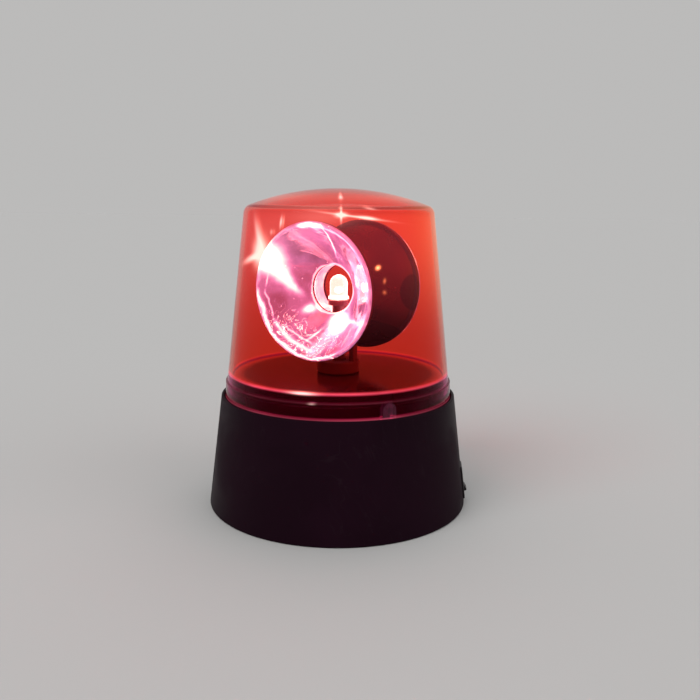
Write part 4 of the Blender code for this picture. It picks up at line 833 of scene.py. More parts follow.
@dataclass(frozen=True)
class ClearRedPlastic:
    """Clear red moulding that lets light through, with the faint flow lines of the mould, painted glows and
    glints, and painted shade on its skirt.

    Attributes:
        name: Name of the material.
        tint: Colour that one wall lets through.
        skirt: The same below the flange, darker as painted shade where the wall is seen against the black
            collar.
        shine: Tint of its reflections.
        refraction: Its refractive index.
        roughness: Roughness of its polished faces.
        shadow: Colour of the light that passes a wall on its way to what lies behind.
        body: Painted light in the wall above the bowls' foot, for what it takes up from the lamp.
        beam: Painted light where a bowl's beam goes through the wall.
        edge: Painted light at the edges of the skirt.
        crown: Painted light at the shoulder under the cap.
        lug: Painted light at the lugs.
        hole: Colour that comes through a lug at its small dark hole.
        glint: Colour of the painted glints, small bright images of the lamp in the wall.
        beam_angle: Where round the dome that beam is strongest.
        lug_angle: Where the first lug is.
        lug_radius: How far the lugs are from the dome's axis, in millimetres like the next four.
        lug_middle: Height of the middle of a lug's arch.
        lug_foot: Height of a lug's lower end.
        lug_half_width: Radius of a lug's arch.
        lug_hole: Radius of the hole in a lug.
        skirt_top: Heights in metres between which the skirt's tint gives way to the wall's.
        flow_scale: How the flow lines of the mould are stretched along x, y and z.
        beam_spread: Angles from the beam's middle between which it fades.
        beam_rise: Heights between which the beam rises.
        beam_fall: Heights between which it falls again, to beam_top.
        beam_top: What is left of the beam there.
        body_rise: Heights between which the body's light rises.
        body_fall: Heights between which it falls again, to a half.
        edges: The painted bands of light at the edges.
        crown_band: The painted band of light under the cap.
        edge_depth: Places along Y between which the edges' light falls to edge_far, front to back.
        edge_far: What is left of it at the back.
        edge_least: What is left of it in the darkest patches.
        wall_radius: Radius at which places round the wall are told in millimetres.
        glints: Those painted glints, by their places round the wall from the front of the switch and their
            heights.
    """

    name: str = "clear red dome"
    tint: Colour = (0.95, 0.20, 0.15)
    skirt: Colour = (0.55, 0.04, 0.20)
    shine: Colour = (0.55, 0.14, 0.15)
    refraction: float = 1.16
    roughness: float = 0.03
    shadow: Colour = (0.95, 0.24, 0.22)
    body: Colour = (0.065, 0.010, 0.014)
    beam: Colour = (0.09, 0.065, 0.0)
    edge: Colour = (0.48, 0.06, 0.11)
    crown: Colour = (0.08, 0.02, 0.012)
    lug: Colour = (0.035, 0.010, 0.018)
    hole: Colour = (0.06, 0.004, 0.015)
    glint: Colour = (1.0, 0.62, 0.55)
    beam_angle: float = math.radians(35.0)
    lug_angle: float = math.radians(60.0)
    lug_radius: float = 42.0
    lug_middle: float = 45.5
    lug_foot: float = 42.2
    lug_half_width: float = 2.5
    lug_hole: float = 0.9
    skirt_top: Range = (0.0509, 0.0517)
    flow_scale: Triple = (1.0, 1.0, 0.35)
    beam_spread: Range = (0.2, 1.5)
    beam_rise: Range = (60, 106)
    beam_fall: Range = (108, 118)
    beam_top: float = 0.2
    body_rise: Range = (60, 108)
    body_fall: Range = (109, 116)
    edges: tuple[Band, ...] = (Band(51.5, 0.36), Band(48.3, 0.22, 0.15), Band(42.75, 0.30, 0.65))
    crown_band: Band = Band(116.4, 1.1)
    edge_depth: Range = (-20, 20)
    edge_far: float = 0.3
    edge_least: float = 0.6
    wall_radius: float = 38.0
    glints: tuple[Spot, ...] = (
        # Painted highlights: glints of the lamp on the shoulder and cap, a painted flare, small glints on the
        # flange lines and faint hazes
        Spot(-55.1, 110.8, 1.7, 0.7, 0.0, 1.4),
        Spot(-55.1, 110.8, 0.35, 1.8, 0.0, 1.2),
        Spot(-50.0, 110.3, 10.0, 0.30, -0.113, 0.7),
        Spot(-45.5, 109.9, 3.0, 0.50, -0.11, 0.9),
        Spot(-44.3, 112.9, 2.0, 0.30, -0.1, 0.4),
        Spot(-55.1, 116.6, 0.9, 0.6, 0.0, 1.0),
        Spot(-77.8, 108.2, 0.45, 1.6, -0.1, 1.0),
        Spot(-82.0, 104.8, 0.6, 0.8, 0.0, 0.4),
        Spot(-87.5, 97.5, 3.4, 4.2, 0.3, 1.3),
        Spot(-92.0, 95.7, 6.0, 1.0, 0.3, 0.9),
        Spot(-89.0, 103.0, 1.3, 5.5, 0.48, 0.7),
        Spot(-67.0, 51.4, 3.6, 0.40, 0.0, 1.3),
        Spot(-63.8, 48.2, 1.0, 0.25, 0.0, 0.5),
        Spot(-62.0, 110.0, 11.0, 3.0, 0.0, 0.10),
        Spot(-82.0, 104.0, 14.0, 10.0, 0.0, 0.05),
    )

    def build(self, effects: Effects) -> Material:
        """Makes the material, whose walls pass the lamps' rays as plain tinted film.

        Args:
            effects: The shared node groups.

        Returns:
            The material.
        """
        material, nodes, shader = start_material(self.name)
        place = nodes.place()
        flow = nodes.new("Mapping", {"Vector": place, "Scale": self.flow_scale})
        ripple = nodes.noise(flow.outputs["Vector"], 60.0)
        patches = effects.patches(nodes, 30.0)
        # Painted shade: below the flange the tint gives way to the skirt's darker one
        low = nodes.ramp(nodes.new("SeparateXYZ", {"Vector": place}).outputs["Z"], *self.skirt_top)
        clear = nodes.blend(low, (*self.skirt, 1), (*self.tint, 1))
        holes = nodes.ramp(self._lug_reach(nodes, place, self.lug_hole), -0.05, 0.15, (1.0, 0.0))
        nodes.feed(shader.inputs["Base Color"], nodes.blend(holes, clear, (*self.hole, 1)))
        rough = nodes.ramp(patches, 0, 1, (self.roughness, self.roughness * 1.8))
        scuffs = nodes.times(effects.scratches(nodes), 0.015)
        nodes.feed(shader.inputs["Roughness"], nodes.plus(rough, scuffs))
        nodes.relief(shader, ripple, 0.05, 0.0004)
        glass = {"IOR": self.refraction, "Transmission Weight": 1.0, "Specular Tint": (*self.shine, 1)}
        # Painted light: the wall's emission holds the painted glows at the edges, shoulder and lugs, the
        # painted beam and the glints
        glow = {"Emission Color": self._painted_glow(nodes, place, patches), "Emission Strength": 1.0}
        nodes.fill(shader, {**glass, **glow})
        pass_light(material, nodes, shader, self.shadow)
        return material

    @staticmethod
    def _around(nodes: Nodes, place: Socket) -> tuple[Socket, Socket, Socket]:
        """Where a place is on the dome.

        Args:
            nodes: The helper for the material's nodes.
            place: The object coordinates.

        Returns:
            Its angle, its distance along Y and its height, both in millimetres.
        """
        local = nodes.new("Mapping", {"Vector": place, "Scale": MILLIMETRES}).outputs["Vector"]
        axes = nodes.new("SeparateXYZ", {"Vector": local}).outputs
        return nodes.maths("ARCTAN2", axes["Y"], axes["X"]), axes["Y"], axes["Z"]

    def _painted_glow(self, nodes: Nodes, place: Socket, patches: Socket) -> Socket:
        """Painted light that leaves the wall: thin bands by height at the edges, and a broad patch by angle.

        Args:
            nodes: The helper for the material's nodes.
            place: The object coordinates.
            patches: Soft patches that vary the bands.

        Returns:
            The colour of the light.
        """
        angle, depth, height = self._around(nodes, place)
        turn = nodes.maths("ABSOLUTE", nodes.minus(angle, self.beam_angle))
        fade = nodes.ramp(turn, *self.beam_spread, (1.0, 0.0))
        broad = nodes.times(fade, nodes.ramp(height, *self.beam_rise))
        broad = nodes.times(broad, nodes.ramp(height, *self.beam_fall, (1.0, self.beam_top)))
        bands: object = 0.0
        for band in self.edges:
            bands = nodes.plus(bands, self._band(nodes, height, band))
        far = nodes.ramp(depth, *self.edge_depth, (1.0, self.edge_far))
        vary = nodes.times(nodes.ramp(patches, 0, 1, (self.edge_least, 1.0)), far)
        across = nodes.times(angle, self.wall_radius)
        rise, fall = nodes.ramp(height, *self.body_rise), nodes.ramp(height, *self.body_fall, (1.0, 0.5))
        masks = (
            (nodes.times(rise, fall), self.body),
            (nodes.times(bands, vary), self.edge),
            (self._band(nodes, height, self.crown_band), self.crown),
            (self._painted_lug_glow(nodes, place, height), self.lug),
            (spots_level(nodes, across, height, self.glints), self.glint),
        )
        lit = nodes.blend(broad, NO_LIGHT, (*self.beam, 1))
        for mask, colour in masks:
            lit = nodes.blend(mask, lit, (*colour, 1), "ADD")
        return lit

    def _painted_lug_glow(self, nodes: Nodes, place: Socket, height: Socket) -> Socket:
        """Mask of the painted glow on the three arched lugs, one on a lug and zero beside it."""
        arch = self._lug_reach(nodes, place, self.lug_half_width, True)
        outside = nodes.maths("MAXIMUM", arch, nodes.minus(self.lug_foot, height))
        return nodes.ramp(outside, -0.15, 0.1, (1.0, 0.0))

    def _lug_reach(self, nodes: Nodes, place: Socket, radius: float, straight: bool = False) -> Socket:
        """How far a place is outside a circle about the nearest lug's middle, in millimetres.

        Args:
            nodes: The helper for the material's nodes.
            place: The object coordinates.
            radius: Radius of the circle.
            straight: Whether its lower half is drawn out straight down.

        Returns:
            The distance, below zero inside the circle.
        """
        third = math.tau / 3
        angle, _, height = self._around(nodes, place)
        turn = nodes.maths("WRAP", nodes.minus(angle, self.lug_angle), third / 2, -third / 2)
        above = nodes.minus(height, self.lug_middle)
        above = nodes.maths("MAXIMUM", above, 0.0) if straight else above
        beside = nodes.times(turn, self.lug_radius)
        squares = [nodes.maths("POWER", value, 2.0) for value in (beside, above)]
        return nodes.minus(nodes.maths("SQRT", nodes.plus(*squares)), radius)

    @staticmethod
    def _band(nodes: Nodes, height: Socket, band: Band) -> Socket:
        """Level of a soft band: e to the minus squared distance from its middle, in its reaches."""
        away = nodes.maths("DIVIDE", nodes.minus(height, band.height), band.reach)
        return nodes.times(nodes.bell(away), band.level)


@dataclass(frozen=True)
class MirrorCoat:
    """Vacuum-metallised bowl with the patches and thin arcs of the lamp's light painted on it, as painted
    reflections.

    Attributes:
        name: Name of the material.
        colour: Colour of the coating.
        height: Height of the bowls' axis.
        yaw: Turn of the bowls about the lamp.
        soft: Colour of the painted light where it is soft.
        hot: Colour of the painted light where it is brightest.
        gain: Strength of the light at the level of one.
        dimmest: Level of the darkest light.
        reach: Level of the brightest light.
        spots: The painted soft patches: of light, and of shade where their strength is below zero.
        streaks: The painted thin arcs of light.
        hole_rim: Radii between which the painted light at the rim of the hole fades, in millimetres.
        hole_level: Strength of that light.
        ripple: Strength of the coating's broad relief.
        hottest: Shares of the brightest light between which its colour goes from soft to hot.
    """

    name: str = "mirror coat"
    colour: Colour = (0.46, 0.36, 0.44)
    height: float = 0.083
    yaw: float = math.radians(-27.0)
    soft: Colour = (0.27, 0.33, 1.0)
    hot: Colour = (0.62, 0.78, 0.95)
    gain: float = 1.25
    dimmest: float = 0.12
    reach: float = 6.5
    spots: tuple[Spot, ...] = (
        Spot(-21.3, 13.0, 4.2, 5.6, 0.2, 12.0),
        Spot(-18.0, 4.6, 2.0, 5.0, 0.45, 7.0),
        Spot(-14.6, -0.6, 1.0, 3.2, 0.75, 3.0),
        Spot(5.0, -12.2, 4.0, 2.8, 0.12, 16.0),
        Spot(14.0, -10.8, 7.5, 0.8, 0.12, 3.5),
        Spot(-9.1, -8.2, 2.1, 1.5, 0.0, 7.0),
        Spot(-5.5, -7.0, 1.6, 0.8, 0.3, 3.0),
        Spot(3.9, 17.8, 0.40, 5.0, -0.095, 6.0),
        Spot(-3.9, -17.2, 0.55, 3.0, -0.70, 4.0),
        Spot(6.1, -19.2, 2.0, 1.2, 0.5, 2.0),
        Spot(17.0, 0.5, 2.2, 3.6, 0.2, -0.5),
        Spot(-9.5, 11.5, 5.0, 4.5, 0.0, 0.1),
        Spot(-17.0, -4.0, 4.5, 3.0, -0.8, -0.2),
        Spot(14.0, 14.0, 5.0, 4.5, 0.0, -0.45),
        Spot(12.5, -6.0, 3.0, 3.0, 0.0, -0.3),
    )
    streaks: tuple[Streak, ...] = (
        Streak(24.0, 76, 106, 0.8, 8.0),
        Streak(23.3, 38, 80, 0.5, 3.5),
        Streak(24.1, -180, -60, 0.35, 5.0),
        Streak(22.3, 165, 180, 0.25, 3.0),
        Streak(22.3, -180, -146, 0.25, 3.0),
        Streak(22.0, -148, -88, 0.6, 4.0),
        Streak(20.0, -140, -95, 0.3, 3.0),
        Streak(24.6, -180, 180, 0.5, 1.4),
        Streak(9.4, -180, 180, 0.35, 3.5),
    )
    hole_rim: Range = (9.02, 9.2)
    hole_level: float = 1.6
    ripple: float = 0.22
    hottest: Range = (0.22, 0.85)

    def build(self, effects: Effects) -> Material:
        """Makes the material, whose pattern turns with the bowls and looks the same in each.

        Args:
            effects: The shared node groups.

        Returns:
            The material.
        """
        material, nodes, shader = start_material(self.name)
        place = nodes.place()
        ripple = nodes.noise(place, 140.0, distortion=0.8)
        fine = nodes.new("Group", {"Scale": 1800.0}, node_tree=effects.grain)
        grain = nodes.times(fine.outputs["Height"], 0.02)
        height = nodes.plus(ripple, grain)
        nodes.relief(shader, height, self.ripple, 0.0006)
        nodes.fill(shader, {"Base Color": (*self.colour, 1), "Metallic": 1.0})
        nodes.feed(shader.inputs["Roughness"], nodes.ramp(ripple, 0.3, 0.7, (0.05, 0.14)))
        # Painted reflections: the bowl's emission stands in for the lamp's light seen in the mirror
        level = self._painted_light(nodes, place)
        share = nodes.maths("DIVIDE", nodes.maths("MINIMUM", level, self.reach), self.reach)
        tone = nodes.blend(nodes.ramp(share, *self.hottest), (*self.soft, 1), (*self.hot, 1))
        grey = nodes.new("CombineColor", {"Red": share, "Green": share, "Blue": share}).outputs["Color"]
        light = nodes.blend(1.0, tone, grey, "MULTIPLY")
        nodes.fill(shader, {"Emission Color": light, "Emission Strength": self.reach * self.gain})
        return material

    def _painted_light(self, nodes: Nodes, place: Socket) -> Socket:
        """Level of the painted light: a mottled ground, plus each patch, arc and thread of light.

        A patch is e to the minus squared distance in its own widths. An arc is the same across its
        line, and lasts from its first angle to its last.

        Args:
            nodes: The helper for the material's nodes.
            place: The object coordinates.

        Returns:
            The level.
        """
        local = bowl_place(nodes, place, self.height, self.yaw)
        flow = nodes.new("TexNoise", {"Vector": local, "Scale": 0.16, "Detail": 2.0})
        sway = nodes.new("VectorMath", {0: flow.outputs["Color"], 1: (0.5, 0.5, 0.5)}, operation="SUBTRACT")
        sway = nodes.new("VectorMath", {0: sway.outputs[0], "Scale": 2.4}, operation="SCALE")
        bent = nodes.new("VectorMath", {0: local, 1: sway.outputs[0]}, operation="ADD").outputs[0]
        across, up = bowl_axes(nodes, bent, 1.0)
        squares = [nodes.maths("POWER", value, 2.0) for value in (across, up)]
        radius = nodes.maths("SQRT", nodes.plus(*squares))
        angle = nodes.times(nodes.maths("ARCTAN2", up, across), 180 / math.pi)
        level = nodes.ramp(nodes.noise(local, 0.09, 4.0), 0.3, 0.7, (0.75, 1.8))
        level = nodes.plus(level, nodes.ramp(radius, *self.hole_rim, (self.hole_level, 0.0)))
        level = spots_level(nodes, across, up, self.spots, level)
        for streak in self.streaks:
            level = nodes.plus(level, self._painted_streak(nodes, radius, angle, streak))
        level = nodes.plus(level, self._painted_threads(nodes, local, radius, angle))
        return nodes.maths("MAXIMUM", level, self.dimmest)

    @staticmethod
    def _painted_streak(nodes: Nodes, radius: Socket, angle: Socket, streak: Streak) -> Socket:
        """Level of one thin painted arc, faded over ten degrees at each end unless it goes all round."""
        away = nodes.maths("DIVIDE", nodes.minus(radius, streak.radius), streak.width)
        line = nodes.times(nodes.bell(away), streak.level)
        if streak.end - streak.start >= 360:
            return line
        rise = nodes.ramp(angle, streak.start - 2, streak.start + 8)
        fall = nodes.ramp(angle, streak.end - 8, streak.end + 2, (1.0, 0.0))
        return nodes.times(line, nodes.times(rise, fall))

    @staticmethod
    def _painted_threads(nodes: Nodes, local: Socket, radius: Socket, angle: Socket) -> Socket:
        """Level of the painted threads of light low in the bowl: crests of a noise, plus small bright points.
        """
        crest = nodes.maths("ABSOLUTE", nodes.minus(nodes.noise(local, 0.22, distortion=1.6), 0.5))
        thread = nodes.ramp(crest, 0.0, 0.02, (1.0, 0.0))
        low = nodes.times(nodes.ramp(radius, 14, 18), nodes.ramp(angle, -165, -135))
        low = nodes.times(low, nodes.ramp(angle, -80, -50, (1.0, 0.0)))
        dots = nodes.new("TexVoronoi", {"Vector": local, "Scale": 0.35})
        point = nodes.ramp(dots.outputs["Distance"], 0.05, 0.12, (2.5, 0.0))
        faint = nodes.times(thread, nodes.plus(nodes.times(low, 6.0), 0.35))
        return nodes.plus(faint, point)


@dataclass(frozen=True)
class BowlBack:
    """Back of a bowl: the coating's dull side, darker in two patches of painted dark reflection, with small
    painted glints as points of light.

    Attributes:
        height: Height of the bowls' axis.
        yaw: Turn of the bowls about the lamp.
        name: Name of the material.
        colour: Its colour.
        dark: Its colour in the patches of painted dark reflection.
        spots: The patches of painted dark reflection.
        points: The painted glints, as points of light.
        point: Their colour.
    """

    height: float
    yaw: float
    name: str = "bowl back"
    colour: Colour = (0.13, 0.055, 0.12)
    dark: Colour = (0.025, 0.006, 0.07)
    spots: tuple[Spot, ...] = (Spot(22.8, -1.7, 3.0, 7.0, 0.0, 1.4), Spot(8.5, -21.5, 13.0, 8.5, -0.35, 1.6))
    points: tuple[Spot, ...] = (
        Spot(12.8, 7.7, 0.6, 0.7, 0.0, 1.0),
        Spot(15.4, 2.8, 0.4, 0.9, 0.0, 0.15),
        Spot(15.5, -1.5, 0.5, 0.7, 0.0, 0.12),
    )
    point: Colour = (1.0, 0.95, 0.5)

    def build(self, effects: Effects) -> Material:
        """Makes the material, whose pattern turns with the bowls and looks the same on each."""
        material, nodes, shader = start_material(self.name)
        place = nodes.place()
        across, up = bowl_axes(nodes, bowl_place(nodes, place, self.height, self.yaw), -1.0)
        # Painted shade: two patches darkened as painted dark reflections
        shade = spots_level(nodes, across, up, self.spots)
        patches = effects.patches(nodes, 120.0)
        shade = nodes.plus(nodes.ramp(shade, 0.48, 0.58), nodes.times(patches, 0.2))
        tone = nodes.blend(nodes.maths("MINIMUM", shade, 1.0), (*self.colour, 1), (*self.dark, 1))
        nodes.feed(shader.inputs["Base Color"], tone)
        nodes.feed(shader.inputs["Roughness"], nodes.ramp(patches, 0, 1, (0.26, 0.38)))
        # Painted highlights: small glints as emission
        light = spots_level(nodes, across, up, self.points)
        lit = nodes.blend(light, NO_LIGHT, (*self.point, 1))
        nodes.fill(shader, {"Emission Color": lit, "Emission Strength": 5.0, "Metallic": 0.85})
        return material


@dataclass(frozen=True)
class LitGlow:
    """Surface of a lamp that gives off light.

    Attributes:
        name: Name of the material.
        colour: Colour of the light.
        strength: Its strength, where one is white.
    """

    name: str
    colour: Colour
    strength: float

    def build(self) -> Material:
        """Makes the material, evenly lit, with a fine cell pattern in its roughness."""
        material, nodes, shader = start_material(self.name)
        place = nodes.place()
        cells = nodes.new("TexVoronoi", {"Vector": place, "Scale": 1500.0})
        nodes.feed(shader.inputs["Roughness"], nodes.ramp(cells.outputs["Distance"], 0, 1, (0.3, 0.6)))
        glow = {"Emission Color": (*self.colour, 1), "Emission Strength": self.strength}
        nodes.fill(shader, {"Base Color": (0.9, 0.9, 0.85, 1), **glow})
        return material


@dataclass(frozen=True)
class ClearLens:
    """Clear epoxy round the lamp's chip.

    Attributes:
        name: Name of the material.
        tint: Colour that it lets through.
        glow: Light that the epoxy scatters.
    """

    name: str = "lamp lens"
    tint: Colour = (0.98, 0.96, 0.97)
    glow: Colour = (0.75, 0.9, 1.0)

    def build(self, effects: Effects) -> Material:
        """Makes the material from the shared node groups."""
        material, nodes, shader = start_material(self.name)
        patches = effects.patches(nodes, 300.0)
        nodes.feed(shader.inputs["Roughness"], nodes.ramp(patches, 0, 1, (0.02, 0.06)))
        glass = {"Base Color": (*self.tint, 1), "IOR": 1.5, "Transmission Weight": 1.0}
        nodes.fill(shader, {**glass, "Emission Color": (*self.glow, 1), "Emission Strength": 2.4})
        pass_light(material, nodes, shader, self.tint)
        return material


@dataclass
class BaseShell:
    """Black tapered base with a shelf inside and the hole of the switch in its wall."""

    sides: int = 240
    foot_radius: float = 0.0500
    rim_radius: float = 0.04475
    rim_height: float = 0.0427
    rebate_radius: float = 0.0437
    wall: float = 0.0024
    shelf_top: float = 0.0386
    shelf_bottom: float = 0.0364
    shelf_inner: float = 0.0380
    foot_edge: float = 0.0008
    rim_edge: float = 0.00035
    switch_height: float = 0.0085
    hole_half_width: float = 0.00375
    hole_half_length: float = 0.0059
    pad_half_width: float = 0.0048
    pad_half_length: float = 0.0068
    pad_depth: float = 0.0008
    pad_step: float = 0.00012
    boss_ring: float = 0.0410
    boss_angle: float = math.radians(60.0)
    boss_radius: float = 0.0030
    boss_bore: float = 0.0015
    boss_bottom: float = 0.0035
    boss_top: float = 0.0160
    tab_ring: float = 0.0375
    tab_radius: float = 0.0034
    web_half: float = 0.0010
    web_overlap: float = 0.0004
    web_drop: float = 0.0004
    slot: str = "base_black"

    def tilt(self) -> float:
        """How far the wall leans in, as an angle."""
        return math.atan2(self.foot_radius - self.rim_radius, self.rim_height)

    def profile(self) -> Profile:
        """Closed section of the shell, with rows at the ends of the switch's hole and pad."""
        lean = math.tan(self.tilt())
        halves = (self.hole_half_length, self.pad_half_length, self.pad_half_length + self.pad_step)
        levels = sorted(self.switch_height + side * half for side in (-1, 1) for half in halves)
        inner_foot = self.foot_radius - self.wall
        inner_top = inner_foot - self.shelf_bottom * lean
        corners = [
            (inner_foot, 0.0, PLAIN),
            (self.foot_radius, 0.0, self.foot_edge),
            *[(self.foot_radius - z * lean, z, 0.0) for z in levels],
            (self.rim_radius, self.rim_height, self.rim_edge),
            (self.rebate_radius, self.rim_height, PLAIN),
            (self.rebate_radius, self.shelf_top, FINE),
            (self.shelf_inner, self.shelf_top, SOFT),
            (self.shelf_inner, self.shelf_bottom, SOFT),
            (inner_top, self.shelf_bottom, SOFT),
            *[(inner_foot - z * lean, z, 0.0) for z in reversed(levels)],
        ]
        return filleted(corners)

    def relief(self, radius: np.ndarray, angle: np.ndarray, height: np.ndarray) -> np.ndarray:
        """Cuts the flat pad of the switch: the outer wall goes back to the pad's plane where it stands out.

        The plane leans as the wall does, so at an angle a its distance from the axis is the middle's
        distance divided by the cosine of a.
        """
        lean = math.tan(self.tilt())
        plane = (self.foot_radius - height * lean - self.pad_depth / math.cos(self.tilt())) / np.cos(angle)
        across = np.abs(wrapped(angle)) <= self.angle_of(self.pad_half_width) + NEAR
        along = np.abs(height - self.switch_height) <= self.pad_half_length + NEAR
        outside = radius > self.foot_radius - height * lean - self.wall / 2
        return np.where(across & along & outside, np.minimum(plane - radius, 0), 0)

    def angle_of(self, half_width: float) -> float:
        """Angle round the base that half a width takes up at the switch."""
        return math.asin(half_width / (self.foot_radius - self.switch_height * math.tan(self.tilt())))

    def columns(self) -> np.ndarray:
        """Angles of the columns, fine over the pad and even round the rest."""
        hole, edge = self.angle_of(self.hole_half_width), self.angle_of(self.pad_half_width)
        step = self.angle_of(self.pad_half_width + self.pad_step)
        beside, within = np.linspace(hole, edge, 3), np.linspace(-hole, hole, ARC_POINTS)[1:-1]
        near = np.concatenate([-beside[::-1], within, beside])
        far = np.linspace(step, math.tau - step, self.sides)
        return np.concatenate([near, far])

    def build(self, effects: Effects, finish: MouldedPlastic) -> Piece:
        """Turns the section and opens the hole.

        Args:
            effects: The shared node groups.
            finish: Its finish.

        Returns:
            The piece.
        """
        profile, columns = self.profile(), self.columns()
        shell = turned(profile, columns, relief=self.relief)
        middle = shell.points[shell.faces].mean(axis=1)
        across = np.abs(np.arctan2(middle[:, 1], middle[:, 0])) < self.angle_of(self.hole_half_width)
        along = np.abs(middle[:, 2] - self.switch_height) < self.hole_half_length
        opened = Surface(shell.points, shell.faces[~(across & along)])
        whole = opened.joined(self._hole_walls(shell, profile, columns), *self._bosses())
        piece = make_piece("base_shell", whole, Body.BASE, ["base_housing"])
        dress(piece, finish.build(effects))
        return piece

    def _bosses(self) -> list[Surface]:
        """Screw bosses with their webs to the wall, and the tabs of the shelf under the deck's posts."""
        forms = []
        lean = math.tan(self.tilt())
        reach = self.foot_radius - self.wall - self.boss_top * lean + self.web_overlap
        middle = (self.boss_ring + self.boss_bore + reach) / 2
        half = (reach - self.boss_ring - self.boss_bore) / 2
        web = rounded_rectangle(half, self.web_half, FINE) + np.array((middle, 0.0))
        for number, place in enumerate(ring_places(self.boss_ring, self.boss_angle)):
            forms.append(tube(self.boss_bore, self.boss_radius, self.boss_bottom, self.boss_top, place))
            turn = Matrix.Rotation(self.boss_angle + number * math.tau / 3, 4, "Z")
            forms.append(slab(web, self.boss_bottom, self.boss_top - self.web_drop, FINE).moved(turn))
        for place in ring_places(self.tab_ring, self.boss_angle):
            forms.append(tube(self.boss_bore, self.tab_radius, self.shelf_bottom, self.shelf_top, place))
        return forms

    def _hole_walls(self, shell: Surface, profile: Profile, columns: np.ndarray) -> Surface:
        """Four strips that join the hole's edge in the outer wall to its edge in the inner one."""
        grid = shell.points.reshape(len(profile), len(columns), 3)
        lean = math.tan(self.tilt())
        ends = [self.switch_height - self.hole_half_length, self.switch_height + self.hole_half_length]
        rows = []
        for foot in (self.foot_radius, self.foot_radius - self.wall):
            wanted = [np.array((foot - z * lean, z)) for z in ends]
            rows.append([int(np.argmin(np.linalg.norm(profile - w, axis=1))) for w in wanted])
        reach = self.angle_of(self.hole_half_width) + NEAR
        hole = [number for number, angle in enumerate(columns) if abs(angle) <= reach]
        outer, inner = rows
        strips = [quads(np.stack([grid[outer[end], hole], grid[inner[end], hole]])) for end in (0, 1)]
        strips += [quads(np.stack([grid[outer, side], grid[inner, side]])) for side in (hole[0], hole[-1])]
        return strips[0].joined(*strips[1:])


